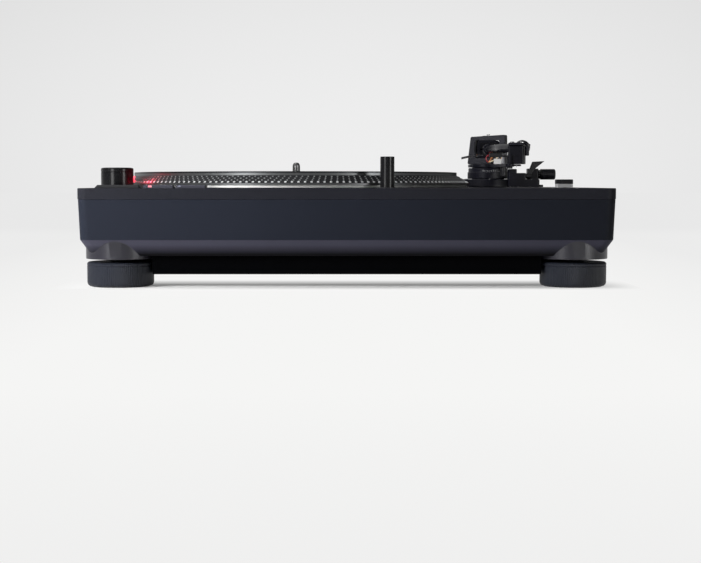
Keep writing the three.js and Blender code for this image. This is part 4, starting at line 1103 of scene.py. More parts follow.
def build_speed_button(speed, lamp_aside, glass):
    """A speed key with its number, and its light in a pocket of the key's front edge."""
    controls = sizes("controls")
    name = f"speed_{speed}_button"
    key, lens = Node(name), Node(f"indicator_{speed}")
    lamp = Vector((lens.middle.x + lamp_aside, key.low.y + 0.9, 0.0))
    pocket = rod(lens.radius + 0.3, key.high.z - lens.size.z - 0.3, key.high.z + 2, 32)
    dress(name, combined(cap_shape(name, controls.key_edge), placed(pocket, lamp)),
          finish("speed_key_plastic"))
    trim(f"speed_{speed}_number", digits(speed, controls.digit_size, controls.print_rise * 2),
         finish("print_ink"), name, (key.middle.x + 3.4, key.middle.y, key.high.z))
    glass_rod = placed(rod(lens.radius, lens.low.z, key.high.z - 0.5, 48, 0.15), lamp)
    dome = combined(glass_rod, cap_shape(name, controls.key_edge), operation="INTERSECT")
    dress(f"indicator_{speed}", dome, glass)


def build_buttons():
    build_start_button()
    lit = glowing("indicator_lit", (0.7, 0.06, 0.08), sizes("controls").lamp_colour, 0.8)
    build_speed_button("33", 2.4, lit)
    build_speed_button("45", 0.0, finish("indicator_clear"))


def facing_place(spot, target):
    """The place of a round piece whose X axis looks at a target."""
    return turn_at(plan(spot), math.atan2(target.y - spot.y, target.x - spot.x))


def build_strobe():
    """The strobe column with its lit window, and the power knob that turns on it."""
    controls = sizes("controls")
    housing, lens, knob = Node("strobe_housing"), Node("strobe_lens"), Node("power_knob")
    place = facing_place(pivot("power_knob_turn"), lens.middle)
    bottom, top, radius, wall, bore = housing.low.z, housing.high.z, controls.column_radius, 2, 3.3
    floor = bottom + 3
    shell = hollow([(bore, bottom), (radius, bottom), (radius, top), (radius - wall, top),
                    (radius - wall, floor), (bore, floor)], 0.35, 128)
    inside, outside = radius - 2 * wall, radius + 2 * wall
    sill, head = lens.low.z - 0.3, lens.high.z + 0.3
    window = block_in((inside, -6, sill), (outside, 6, head), 1.0, along=0)
    dress("strobe_housing", combined(shell, window), finish("gloss_plastic"), place)
    pane = combined(ring(radius + 1.3, radius - wall + 0.3, lens.low.z, lens.high.z, 160),
                    block_in((inside, -5.7, sill), (outside, 5.7, head)), operation="INTERSECT")
    dress("strobe_lens", pane, glowing("strobe_lit", (0.5, 0.2, 0.25), controls.strobe_colour, 0.62), place)
    start, rise, shaft = top + 0.08, knob.high.z, 3
    cap = turned(eased([
        (0.0, knob.low.z), (shaft, knob.low.z), (shaft, top + 0.02), (radius - 0.6, top + 0.02),
        (radius - 0.55, start), (radius, start + 0.1), (radius, rise - 1.2), (radius - 0.6, rise - 0.4),
        (radius - 3, rise), (radius - 4, rise - 0.3), (0.0, rise - 0.1),
    ], 0.3, 2), 128)
    pointer = block_in((radius * 0.45, -0.5, rise - 1.2), (radius * 0.85, 0.5, rise + 1))
    dress("power_knob", combined(cap, pointer), finish("gloss_plastic"), place)
    mark = block_in((radius * 0.47, -0.4, rise - 1.1), (radius * 0.83, 0.4, rise - 0.5))
    trim("power_knob_mark", mark, finish("print_ink"), "power_knob", place)
    deck = Node("deck_panel").high.z
    skirt = ring(radius + 2.2, radius + 0.05, deck, deck + 0.35, 96)
    trim("strobe_skirt", skirt, finish("moulded_plastic"), "strobe_housing",
         plan(pivot("power_knob_turn")))


def build_light():
    """The target light that stands popped up in its guide, and the button that releases it."""
    light, eye, guide = Node("target_light"), Node("target_light_lens"), Node("target_light_guide")
    place = facing_place(light.middle, eye.middle)
    radius, top = light.radius, light.high.z
    seam, waist = top - 7.5, radius - 0.2
    body = turned(eased([(0.0, light.low.z), (radius, light.low.z), (radius, seam), (waist, seam),
                         (waist, seam + 0.3), (radius, seam + 0.3), (radius, top), (0.0, top)], 0.5), 64)
    sight = turn_at((0, 0, eye.middle.z), QUARTER, "Y")
    hole = turned([(0.0, radius - 2.2), (2.5, radius - 2.2), (2.5, radius - 0.4), (3.4, radius + 1.5),
                   (0.0, radius + 1.5)], 32)
    dress("target_light", combined(body, placed(hole, sight)), finish("gloss_plastic"), place)
    lens = eased([(0.0, radius - 2), (2.2, radius - 2), (2.2, radius - 1), (0.0, radius - 0.6)], 0.5)
    dress("target_light_lens", turned(lens, 32), finish("target_lens"), place @ sight)
    collar = ring(guide.radius, radius + 0.5, guide.low.z, guide.high.z, 64, 0.35)
    dress("target_light_guide", collar, finish("moulded_plastic"), plan(light.middle))
    key = Node("target_light_button")
    button = turned(eased([(0.0, key.low.z), (key.radius, key.low.z), (key.radius, key.high.z),
                           (key.radius - 1.2, key.high.z), (0.0, key.high.z - 0.3)], 0.4), 48)
    dress("target_light_button", button, finish("key_plastic"), plan(key.middle))


def scale_print(centre):
    """The fader's scale: a line on both sides at each step, long ones at each second, which have numbers."""
    controls = sizes("controls")
    figures_aside, figure_size = 12.6, 3.0
    marks = bmesh.new()
    for i in range(-8, 9):
        y = i * controls.scale_step
        reach = 3.6 if i % 2 else 6.2
        for side in SIDES:
            mark = block((reach, controls.scale_line, controls.print_rise))
            joined(marks, placed(mark, (side * (3.4 + reach / 2), y, 0)))
        if i % 2 == 0:
            figure = digits(str(abs(i)), figure_size, controls.print_rise)
            joined(marks, placed(figure, (figures_aside, y, 0)))
    return placed(marks, centre)


def build_fader():
    controls = sizes("controls")
    plate, knob = Node("pitch_scale_plate"), Node("pitch_knob")
    centre = plate.middle
    slot = placed(block((controls.slot_width, controls.slot_length, 6), 1.9), centre)
    dress("pitch_scale_plate", combined(block_in(plate.low, plate.high, 1.0, 0.15), slot),
          finish("scale_plate_black"))
    trim("pitch_scale_print", scale_print(Vector((centre.x, centre.y, plate.high.z))), finish("print_ink"),
         "pitch_scale_plate")
    spot = Vector((centre.x, knob.middle.y, knob.high.z))
    bottom = Node("deck_panel").high.z + 0.3
    stem = block_in((spot.x - 1.6, spot.y - 2.75, knob.low.z), (spot.x + 1.6, spot.y + 2.75, bottom + 1.2))
    split = bottom + (knob.high.z - bottom) * controls.fader_skirt
    grip = block_in((knob.low.x, knob.low.y, split), knob.high, 1.4)
    soften(grip, 0.6, 3, choose=higher_than(split + 1))
    grooves = [placed(block((30, 0.7, 1.6)), spot + Vector((0, i * 1.7, 0))) for i in (-2, -1, 1, 2)]
    dress("pitch_knob", joined(carved(grip, grooves), stem), finish("key_plastic"))
    inset = 0.25
    skirt = block_in((knob.low.x + inset, knob.low.y + inset, bottom),
                     (knob.high.x - inset, knob.high.y - inset, split), 1.3, 0.2)
    trim("pitch_knob_skirt", skirt, finish("fader_skirt_metal"), "pitch_knob")
    mark = block((12, 0.6, controls.print_rise * 2))
    trim("pitch_knob_mark", mark, finish("print_ink"), "pitch_knob", spot)


# Rear


def rearward(*spot):
    """The place of a piece made along Z that runs from a point to the rear."""
    return turn_at(spot, -QUARTER, "X")


def build_phono_jacks():
    jacks = Node("phono_jacks")
    wall, bore, collar, outer, reach = 2, 2.9, 6, 4.15, jacks.size.y
    whole = block_in(jacks.low, (jacks.high.x, jacks.low.y + wall, jacks.high.z), 1.2, 0.25, along=1)
    places = {side: rearward(jacks.middle.x + side * 7, jacks.low.y, jacks.middle.z) for side in SIDES}
    for place in places.values():
        shell = hollow([(bore, 0.2), (collar, 0.2), (collar, 3.4), (outer, 3.4), (outer, reach),
                        (bore, reach)], 0.25, 48)
        whole = joined(whole, placed(shell, place))
    dress("phono_jacks", whole, finish("bright_steel"))
    for side, channel in zip(SIDES, ("left", "right")):
        trim(f"{channel}_channel_ring", ring(2.8, 1.6, wall, reach - 1.5, 32),
             finish(f"{channel}_channel_plastic"), "phono_jacks", places[side])


def build_ground_terminal():
    screw = Node("ground_terminal")
    reach, radius, thread = screw.size.y, screw.radius, 2
    grip = reach / 3
    profile = [(0.0, 0.0), (thread, 0.0), (thread, grip), (radius - 0.5, grip), (radius, grip + 0.5),
               (radius, reach - 0.6), (radius - 0.6, reach), (0.0, reach)]
    shape = turned(eased(profile, 0.2, 2), 48)
    knurls = repeated(24, lambda i: placed(block((0.7, 0.5, reach)), (radius + 0.15, 0, reach / 2 + grip)))
    dress("ground_terminal", combined(shape, knurls), finish("bright_steel"),
          rearward(screw.middle.x, screw.low.y, screw.middle.z))


def build_power_inlet():
    inlet, wall = Node("power_inlet"), 2.4
    room = block_in((inlet.low.x + wall, inlet.low.y + 2 * wall, inlet.low.z + wall),
                    (inlet.high.x - wall, inlet.high.y + wall, inlet.high.z - wall), 3.9, along=1)
    dress("power_inlet", combined(block_in(inlet.low, inlet.high, 1.2, 0.4, along=1), room),
          finish("moulded_plastic"))
    places = [rearward(inlet.middle.x + side * 4.3, inlet.low.y + wall, inlet.middle.z) for side in SIDES]
    pins = [placed(rod(1.2, 0.0, 11.6, 24, 0.5), place) for place in places]
    trim("power_inlet_pins", joined(*pins), finish("bright_steel"), "power_inlet")


def build_terminals():
    tray, wall = Node("terminal_tray"), 2
    room = block_in((tray.low.x + wall, tray.low.y + wall, tray.low.z + wall),
                    (tray.high.x - wall, tray.high.y + wall, tray.high.z - wall), 1.2, along=1)
    dress("terminal_tray", combined(block_in(tray.low, tray.high, edge=0.3), room), finish("arm_satin_metal"))
    build_phono_jacks()
    build_ground_terminal()
    build_power_inlet()


# Tonearm


def arm_origin():
    """The deck under the arm's pivot, which the arm's own sizes start from."""
    spot = pivot("arm_swing")
    return Vector((spot.x, spot.y, Node("deck_panel").high.z))


def cross_screw(height):
    """A screw's head with a cross in it."""
    head = turned(eased([(0.0, -0.6), (1.9, -0.6), (1.9, 0.35), (0.0, 0.5)], 0.25), 24)
    slots = [placed(block(size), (0, 0, 0.5)) for size in ((0.5, 2.6, 0.8), (2.6, 0.5, 0.8))]
    return placed(combined(head, *slots), (0, 0, height))


def build_arm_base():
    """The base casting: a round foot, a side with two steps, and the post of the anti-skate knob."""
    arm, base, origin = sizes("arm"), Node("arm_base"), arm_origin()
    foot, shelf, corner = 0.3, arm.shelf, 1.6
    radius, reach = origin.x - base.low.x, 50
    post, half_post = pivot("anti_skate_turn").y - origin.y, 6.5
    high = base.high - origin
    profile = [(0.0, foot), (radius, foot), (radius, foot + 1.2), (radius - 2, shelf), (0.0, shelf)]
    disc = turned(eased(profile, 0.7), 96)
    side = block_in((18, -25, foot), (reach, 4, shelf), corner, 0.5, edge_steps=3)
    post_block = block_in((reach - 11, post - half_post, shelf - 2), (reach, post + half_post, high.z),
                          corner, 0.4)
    step = block_in((18.2, -25, shelf - 2), (36.1, -14, 14.5), corner, 0.7)
    skirt = block_in((18, post - half_post, foot), (high.x, post + half_post, 2.6), corner, 0.3)
    riser = block_in((18.2, -24, shelf - 2), (27, -16, 18.6), corner, 0.9)
    shapes = [placed(shape, origin) for shape in (disc, side, post_block, step, riser, skirt)]
    bore = placed(rod(arm.bore, -1, shelf + 1, 64), origin)
    dress("arm_base", combined(fused(*shapes), bore), finish("arm_base_paint"))
    screws = [placed(cross_screw(shelf), (x, y, 0)) for x, y in ((24, -10), (42, -21.5), (-21, 15), (0, -25))]
    trim("arm_base_screws", joined(*screws), finish("bright_steel"), "arm_base", origin)


def build_height_ring():
    """The knurled ring that sets the arm's height, with its scale above the grips."""
    node, bore = Node("arm_height_ring"), sizes("arm").bore
    outer, low, high = node.radius, node.low.z, node.high.z
    neck = outer - 0.8
    spot = plan(arm_origin())
    body = hollow([(bore, low), (outer - 0.4, low), (outer, low + 0.4), (outer, low + 6.6), (neck, low + 7),
                   (neck, high - 0.6), (neck - 0.6, high), (bore, high)], 0.25, 120)
    grips = repeated(60, lambda i: placed(block((0.7, 0.9, 5.6)), (outer, 0, low + 3.4)))
    dress("arm_height_ring", combined(body, grips), finish("arm_base_paint"), spot)

    def scale_mark(i):
        tall = 1.3 if i % 5 else 2.2
        return placed(block((0.08, 0.25, tall)), (neck, 0, low + 7.3 + tall / 2))

    marks = repeated(31, scale_mark, math.radians(-110), math.radians(6))
    trim("arm_height_marks", marks, finish("print_ink"), "arm_height_ring", spot)


def build_bracket():
    """The carriage's bracket, whose tongues carry the lifter and the armrest."""
    node, origin = Node("arm_bracket"), plan(arm_origin())
    top, bottom = node.high.z, node.high.z - 3
    lifter = plan(Node("lifter_cylinder").middle)
    rest = Vector((Node("armrest_post").high.x - 3, Node("armrest_post").middle.y, 0.0))
    pillar = placed(rod(16.5, node.low.z, bottom + 0.5, 96, 0.4), origin)
    disc = placed(rod(20.5, bottom, top, 96, 0.5), origin)
    route = [origin - Vector((0, 10.25, 0)), lifter, rest]
    tongues = []
    for start, end in zip(route, route[1:]):
        way, width = end - start, 9
        tongue = block((way.length + width, width, top - bottom), 4.3, 0.4, corner_steps=8)
        middle = (start + end) / 2 + Vector((0, 0, (bottom + top) / 2))
        tongues.append(placed(tongue, turn_at(middle, math.atan2(way.y, way.x))))
    holes = [placed(rod(radius, bottom - 1, top + 1, 32), spot)
             for spot, radius in ((lifter, 3.15), (rest, 3.3))]
    solid = fused(fused(disc, fused(*tongues)), pillar)
    dress("arm_bracket", carved(solid, holes), finish("arm_satin_metal"))


def build_gimbal_frame():
    """The leaning frame around the gimbal, with the pivot screw in its top."""
    arm, node, screw = sizes("arm"), Node("gimbal_frame"), Node("gimbal_pivot_screw")
    centre = pivot("arm_swing")
    place = turn_at(plan(centre), arm.frame_turn)
    half_width, half_depth = arm.frame_width / 2, arm.frame_depth / 2
    outer = block_in((-half_width, -half_depth, node.low.z), (half_width, half_depth, node.high.z), 1.6,
                     along=1)
    for v in outer.verts:
        left = 0.5 - v.co.x / arm.frame_width
        if v.co.z > centre.z:
            v.co.z -= left * 1.8 + 0.8
            v.co.x += left * 2.6 - 0.7
        else:
            v.co.x -= left
    soften(outer, 0.6, 3)

    def window(flare, start, end, corner):
        x, z = half_width - arm.frame_leg + flare, arm.window_height / 2 + flare
        return block_in((-x, start, centre.z - z), (x, end, centre.z + z), corner, along=1)

    flare, past = 0.8, arm.frame_depth
    screw_hole = rod(1.9, node.low.z - 1, node.high.z + 1, 32)
    shape = combined(outer, window(0.0, -past, past, 2), window(flare, -past, flare - half_depth, 2.6),
                     window(flare, half_depth - flare, past, 2.6), screw_hole)
    dress("gimbal_frame", shape, finish("arm_satin_metal"), place)
    slit = block_in((-2, -0.3, screw.high.z - 0.6), (2, 0.3, screw.high.z + 1))
    dress("gimbal_pivot_screw", combined(rod(1.6, screw.low.z, screw.high.z, 32, 0.3), slit),
          finish("bright_steel"), place)


def build_gimbal_ring():
    """The inner ring, with a pin on each side and one below."""
    arm, centre = sizes("arm"), pivot("arm_swing")
    gap = 0.3
    low, high = centre.z - arm.window_height / 2 + gap, centre.z + arm.window_height / 2 - gap
    half, wall = arm.ring_width / 2, arm.ring_wall
    hoop = block_in((-half, -arm.ring_depth / 2, low), (half, arm.ring_depth / 2, high), 2.2, along=1)
    soften(hoop, 0.3)
    hole = block_in((wall - half, -arm.ring_depth, low + wall), (half - wall, arm.ring_depth, high - wall),
                    1.4, along=1)
    pieces = [combined(hoop, hole)]
    for side in SIDES:
        start = side * (half - wall / 2)
        end = start - side * 5.2
        pieces.append(placed(rod(1.2, min(start, end), max(start, end), 24),
                             turn_at((0, 0, centre.z), QUARTER, "Y")))
    pieces.append(rod(1.6, Node("gimbal_ring").low.z, low + 1, 24))
    dress("gimbal_ring", joined(*pieces), finish("arm_satin_metal"), plan(centre))


def build_tube():
    """The arm tube: straight from the pivot, then the S-bend out to the headshell."""
    arm, centre = sizes("arm"), pivot("arm_swing")
    bend_shares = [(0, 0.05), (0, 0.3), (0, 0.5), (0.07, 0.59), (0.5, 0.7), (1.02, 0.81), (1.24, 0.9), (1, 1)]
    route = [centre + Vector((out * arm.bulge, -down * arm.reach, -down * arm.drop))
             for out, down in bend_shares]
    dress("arm_tube", tube(route, arm.tube_radius, 32, 10), finish("arm_tube_anodised"))


def build_housing():
    node, centre, radius = Node("arm_housing"), pivot("arm_swing"), 5.6
    reach = node.size.y
    shell = turned(eased([(0.0, 0.0), (radius - 0.8, 0.0), (radius, 1.2), (radius, reach - 1.2),
                          (radius - 0.8, reach), (0.0, reach)], 0.4), 64)
    cross = placed(rod(1.5, -10, 10, 24), turn_at(centre, QUARTER, "Y"))
    dress("arm_housing", combined(placed(shell, rearward(centre.x, node.low.y, centre.z)), cross),
          finish("arm_satin_metal"))


def build_shaft():
    """The threaded shaft of the counterweight."""
    node, centre = Node("counterweight_shaft"), pivot("arm_swing")
    reach, radius, pitch = node.size.y, 3.4, 1.4
    profile = [(0.0, 0.0), (radius, 0.0)]
    y = 6
    while y < reach - 2 * pitch:
        profile += [(radius, y), (radius - 0.35, y + pitch / 2)]
        y += pitch
    profile += [(radius, y), (radius, reach - 0.5), (radius - 0.5, reach), (0.0, reach)]
    dress("counterweight_shaft", turned(profile, 48), finish("arm_satin_metal"),
          rearward(centre.x, node.low.y, centre.z))


def build_counterweight():
    node, centre, bore = Node("counterweight"), pivot("arm_swing"), 3.7
    span, outer = node.size.y, node.radius
    weight = hollow([
        (bore, 0.0), (outer - 0.8, 0.0), (outer, 0.8), (outer, span - 4.4), (outer - 0.5, span - 4.2),
        (outer - 0.5, span - 3.8), (outer, span - 3.6), (outer, span - 2), (outer - 2, span),
        (outer - 6, span), (outer - 6.4, span - 1), (bore, span - 1),
    ], 0.3, 96)
    spot = (centre.x, node.low.y, centre.z)
    dress("counterweight", weight, finish("counterweight_metal", centre=spot, turn=(QUARTER, 0.0, 0.0)),
          rearward(*spot))


def build_force_dial():
    node, centre, bore = Node("force_dial"), pivot("arm_swing"), 3.7
    span, radius = node.size.y, node.radius
    spot = (centre.x, node.low.y, centre.z)
    dress("force_dial", ring(radius, bore, 0.0, span, 96, 0.3), finish("key_plastic"), rearward(*spot))

    def dial_mark(i):
        tall = 1.1 if i % 5 else 2.0
        return placed(block((0.25, tall, 0.08)), (0, span - tall / 2 - 0.3, radius))

    def dial_number(i):
        figure = "5" if i % 2 else str(i // 2)
        return placed(digits(figure, 2.4, 0.06), turn_at((0, 0, radius - 2.6), QUARTER, "X"))

    marks = joined(repeated(30, dial_mark, axis="Y"), repeated(6, dial_number, axis="Y"))
    trim("force_dial_marks", marks, finish("print_ink"), "force_dial", spot)


def build_arm():
    build_tube()
    build_housing()
    build_shaft()
    build_counterweight()
    build_force_dial()


def head_place():
    """Where the headshell's line starts and how it is turned."""
    way = Vector(JOINTS["headshell_nut_turn"]["axis"])
    return turn_at(pivot("headshell_nut_turn"), math.atan2(way.x, -way.y))


def ahead(start):
    """The place of a piece made along Z that runs ahead of the headshell's nut."""
    return turn_at((0, -start, 0), QUARTER, "X")


def build_nut():
    radius, span, bore, edge = 6.6, 9, 4.6, 0.9
    nut = hollow([(bore, 0.0), (radius - edge, 0.0), (radius, edge), (radius, span - edge),
                  (radius - edge, span), (bore, span)], 0.25, 72)
    ribs = repeated(18, lambda i: placed(block((0.9, 1.1, span - 2.6), 0.3), (radius + 0.15, 0, span / 2)))
    place = head_place()
    dress("headshell_nut", combined(nut, ribs),
          finish("counterweight_metal", "headshell_nut_metal", centre=place.translation), place @ ahead(-3))


# Heights under the arm's line at which the headshell's plate lies
PLATE_BOTTOM = 0.4
PLATE = 2.4


def build_headshell():
    """The headshell's plate with two slots, its neck and its finger lift."""
    tube_radius, place = sizes("arm").tube_radius, head_place()
    neck = placed(rod(tube_radius, 0.0, 14, 48, 0.3), ahead(0.6))
    half, nose, back, front, bend, corner = 8.25, 6.3, 11, 60, 25, 2
    right = [(tube_radius, -back), (half, -back - corner), (half, -bend), (nose, -front + corner),
             (nose - corner, -front)]
    left = [(-x, y) for x, y in reversed(right)]
    plate = placed(extruded(right + left, PLATE, 0.5, 3), (0, 0, PLATE_BOTTOM))
    slots = [placed(block((2.2, 14, 9), 1.05), (side * 4.1, -46.5, PLATE_BOTTOM)) for side in SIDES]
    finger_shares = [(0.8, 0.86, 0.7), (1.2, 0.87, 0.6), (1.42, 0.87, 0), (1.437, 0.87, -0.8)]
    route = [Vector((out * nose, -down * front, PLATE_BOTTOM + rise * PLATE))
             for out, down, rise in finger_shares]
    finger = tube(route, 0.9, 16, 6)
    pad = placed(rod(1.9, -7.7, 0.0, 32, 0.6), route[-1] + Vector((0, 0, 0.9)))
    dress("headshell", joined(carved(plate, slots), neck, finger, pad), finish("arm_satin_metal"), place)
    bolts = []
    for side in SIDES:
        bolt = turned(eased([(0.0, 0.0), (1.9, 0.0), (1.9, 1.1), (0.0, 1.3)], 0.3), 24)
        slit = placed(block((0.45, 4, 0.8)), (0, 0, 1.3))
        bolts.append(placed(combined(bolt, slit), (side * 4.1, -48, PLATE_BOTTOM + PLATE)))
    trim("headshell_bolts", joined(*bolts), finish("bright_steel"), "headshell", place)


def build_cartridge():
    """The cartridge with the stylus under it."""
    place = head_place()
    top = PLATE_BOTTOM - 0.3
    bottom = top - 15.5
    case = block_in((-6.8, -58, bottom), (6.8, -38, top), 1.8)
    soften(case, 0.5, 3)
    notch = block_in((-3.4, -60, top - 17), (3.4, -56.6, top - 8), 0.8, along=1)
    seams = [block_in((start, -60, top - 4.4), (start + 2.5, -36, top - 4.1)) for start in (-9, 6.5)]
    dress("cartridge", combined(case, notch, *seams), finish("cartridge_plastic"), place)
    tip = bottom - 0.3
    lever = placed(turned([(0.0, 0.0), (0.4, 0.0), (0.25, 7.6), (0.0, 7.6)], 16), ahead(42.6))
    placed(lever, (0, 0, tip - 0.95))
    point = placed(turned([(0.0, -1.55), (0.32, -0.5), (0.32, 0.3), (0.0, 0.3)], 12), (0, -49.6, tip - 1.2))
    dress("stylus", joined(lever, point), finish("stylus_metal"), place)
    holder = block_in((-3, -48.4, tip - 1.4), (3, -39.4, tip), 0.6, 0.2)
    trim("stylus_holder", holder, finish("cartridge_plastic"), "stylus", place=place)


def build_head_leads():
    """Four leads from a terminal strip down to the cartridge."""
    place, radius = head_place(), sizes("arm").lead_radius
    top, start, run, space, fall = 0.1, 17.4, 20.3, 2.6, 5
    strip = block_in((-2 * space, -start, top - 2.5), (2 * space, 2.5 - start, top), edge=0.3)
    dress("headshell_leads", strip, finish("moulded_plastic"), place)
    run_shares = [(-0.1, 0.0), (0.25, -0.3), (0.6, -0.95), (1.0, -1.0)]
    for i, name in enumerate(("white", "red", "green", "blue")):
        route = [place @ Vector(((i - 1.5) * space, -start - along * run, top - 1.25 + down * fall))
                 for along, down in run_shares]
        trim(f"headshell_lead_{name}", tube(route, radius, 10, 6), finish(f"lead_{name}"), "headshell_leads")


def build_arm_leads():
    """Three leads that loop over the arm's base between two blocks, and their terminal."""
    radius, origin, low = sizes("arm").lead_radius, arm_origin(), Node("arm_leads").low.z
    half, height, space, foot = 7, 8.4, 1.9, 2
    start = Vector((origin.x + 5.6, origin.y - 13.8, low + foot / 2))
    ends = [placed(block((foot, 3 * space, foot), edge=0.25), start + Vector((along * half, 0, 0)))
            for along in (-0.9, 1.0)]
    dress("arm_leads", joined(*ends), finish("moulded_plastic"))
    loop_shares = {
        "white": [(-0.9, 0.02), (-0.6, 0.2), (0.1, 0.45), (0.55, 0.9), (0.95, 0.7), (1.0, 0.02)],
        "amber": [(-0.9, 0.02), (-0.65, 0.4), (-0.2, 0.85), (0.35, 0.96), (0.9, 0.75), (1.0, 0.02)],
        "red": [(-0.9, 0.02), (-1.25, 0.6), (-0.9, 0.96), (0.1, 1.0), (0.8, 0.9), (1.0, 0.02)],
    }
    for i, (name, shares) in enumerate(loop_shares.items()):
        route = [start + Vector((along * half, (i - 1) * space, rise * height)) for along, rise in shares]
        trim(f"arm_lead_{name}", tube(route, radius, 10, 8), finish(f"lead_{name}"), "arm_leads")
    terminal = block_in((origin.x + 4, origin.y - 19.3, low), (origin.x + 12, origin.y - 17, origin.z + 29),
                        0.5, 0.3)
    trim("arm_lead_terminal", terminal, finish("terminal_white"), "arm_leads")


# Lifter, armrest and levers


def build_lifter():
    """The lifter's cylinder, and its bar as a row of sections that follows the arm's swing."""
    cylinder, bar, origin = Node("lifter_cylinder"), Node("lifter_bar"), arm_origin()
    spot, radius, bore, low = plan(cylinder.middle), cylinder.radius, 1.9, cylinder.low.z
    cup = turned(eased([(0.0, low), (radius / 2, low), (radius, low + radius / 2), (radius, cylinder.high.z),
                        (bore, cylinder.high.z), (bore, low + radius), (0.0, low + radius)], 0.4), 48)
    dress("lifter_cylinder", cup, finish("moulded_plastic"), spot)
    offset = spot - plan(origin)
    reach, top = offset.length, bar.high.z
    half_width, thickness, droop = 1.7, 2.2, 4
    start = Matrix.Rotation(math.atan2(offset.y, offset.x) + 2 * half_width / reach, 4, "Z")
    section = [start @ Vector((reach + aside, 0.0, down)) for aside, down in (
        (-half_width, -thickness), (half_width, -thickness), (half_width, 0.0), (-half_width, 0.0))]
    blade = swept(section, math.radians(60), (0, 0, -1), 32)
    for v in blade.verts:
        away = max(0.0, -v.co.x / reach)
        v.co.z -= 2 * droop * away * away
    soften(blade, 0.45, sharp=50.0)
    stem = placed(rod(bore - 0.3, bar.low.z, top - thickness / 2, 32), spot)
    dress("lifter_bar", joined(placed(blade, (origin.x, origin.y, top)), stem), finish("lifter_satin"))


def build_armrest():
    """The armrest's post with a saddle that the tube lies in."""
    node, origin = Node("armrest_post"), arm_origin()
    y, half_depth, corner, edge = node.middle.y, 3, 0.8, 0.3
    top = pivot("armrest_clip_swing").z - sizes("arm").tube_radius - 0.3
    bottom = top - 3.9
    beam_top, post_x, left, right = bottom + 1.8, origin.x + 15, node.low.x, origin.x + 7.5
    spans = ((left, post_x, beam_top), (left, right, top), (right - 2.6, right, node.high.z - 0.35))
    blocks = [block_in((start, y - half_depth, bottom), (end, y + half_depth, height), corner, edge)
              for start, end, height in spans]
    post = placed(rod(3, node.low.z, beam_top, 48, 0.3), (post_x, y, 0.0))
    dress("armrest_post", fused(post, *blocks), finish("moulded_plastic"))


def build_clip():
    """The clip that locks the tube: an open hoop as a row of sections, its link and its hinge lug."""
    wall, half = 1.6, Node("armrest_clip").size.y / 2
    inner, hook = sizes("arm").tube_radius + 0.8, 9.8
    section = [(-r, w, 0.0) for r, w in ((inner, -half), (inner + wall, -half), (inner + wall, half),
                                         (inner, half))]
    hoop = swept(section, -0.85 * math.pi, (0, 1, 0), 20)
    if min(v.co.z for v in hoop.verts) > -1:
        bmesh.ops.scale(hoop, vec=(1, 1, -1), verts=hoop.verts[:])
        faces_out(hoop)
    soften(hoop, 0.3, sharp=50.0)
    link = block_in((0, -half, -wall), (hook - inner, half, 0.0), edge=0.3)
    lug = placed(rod(2, -half, half, 32, 0.3), Matrix.Rotation(QUARTER, 4, "X"))
    dress("armrest_clip", joined(placed(hoop, (hook, 0, 0)), link, lug), finish("moulded_plastic"),
          pivot("armrest_clip_swing"))


def build_cue_lever():
    hinge = pivot("cue_lever_tilt")
    span, boss, thickness = 5, 2.8, 4
    height = Node("cue_lever").high.z - hinge.z
    spot = Vector((arm_origin().x + 36.5, hinge.y, hinge.z))
    blade_shares = [(0, 0), (0.9, 0), (1.8, 0.46), (3.7, 0.94), (1.25, 0.9), (0.75, 0.5)]
    blade = extruded([(out * span, rise * height) for out, rise in blade_shares], thickness, 0.6, 3)
    placed(blade, turn_at((0, thickness / 2, 0), QUARTER, "X"))
    hub = placed(rod(boss, 0.0, span, 48, 0.4), Matrix.Rotation(QUARTER, 4, "Y"))
    dress("cue_lever", joined(blade, hub), finish("moulded_plastic"), spot)


def build_anti_skate():
    node, centre = Node("anti_skate_knob"), pivot("anti_skate_turn")
    radius, span, grip = node.size.y / 2, node.size.x, 15.6
    neck, foot = radius - 0.8, node.size.x - 15.6
    profile = [(0.0, 0.0), (neck, 0.0), (neck, foot), (radius, foot + 0.6), (radius, span - 0.9),
               (radius - 0.9, span), (0.0, span)]
    ribs = repeated(40, lambda i: placed(block((0.5, 0.45, grip - 4.4)),
                                         (radius + 0.05, 0, span - grip / 2 + 0.4)))
    spot = Vector((node.low.x, centre.y, centre.z))
    dress("anti_skate_knob", combined(turned(eased(profile, 0.3, 2), 96), ribs), finish("key_plastic"),
          turn_at(spot, QUARTER, "Y"))
    marks = repeated(8, lambda i: placed(block((1.6, 0.3, 0.08)), (foot - 1.2, 0, neck)), math.radians(-105),
                     math.radians(30), "X")
    trim("anti_skate_marks", marks, finish("print_ink"), "anti_skate_knob", spot)


def build_inner():
    """Gives the nodes of the frame that keep their own shape their materials."""
    lamp = glowing("strobe_lamp_lit", (0.5, 0.01, 0.015), sizes("controls").strobe_colour, 3.0)
    finishes = {
        "drive_board": finish("board_green"), "power_supply": finish("board_green"),
        "control_board": finish("board_green"), "motor_stator": finish("coil_copper"),
        "rotor_magnet": finish("magnet_iron"), "bearing_housing": finish("cast_aluminium"),
        "strobe_lamp": lamp, "power_switch": finish("moulded_plastic"),
        "pitch_potentiometer": finish("moulded_plastic"),
    }
    for node, material in finishes.items():
        slots = frame["nodes"][node].material_slots
        for material_slot in slots:
            material_slot.material = material
        if not slots:
            frame["nodes"][node].data.materials.append(material)


# Stage


def seen_directly(w):
    """1 for the camera's own rays and for rays that metal or glass sends on."""
    path = w.node("ShaderNodeLightPath")
    kinds = ("Camera", "Glossy", "Transmission")
    return w.maths("MAXIMUM", *[path.outputs[f"Is {kind} Ray"] for kind in kinds])


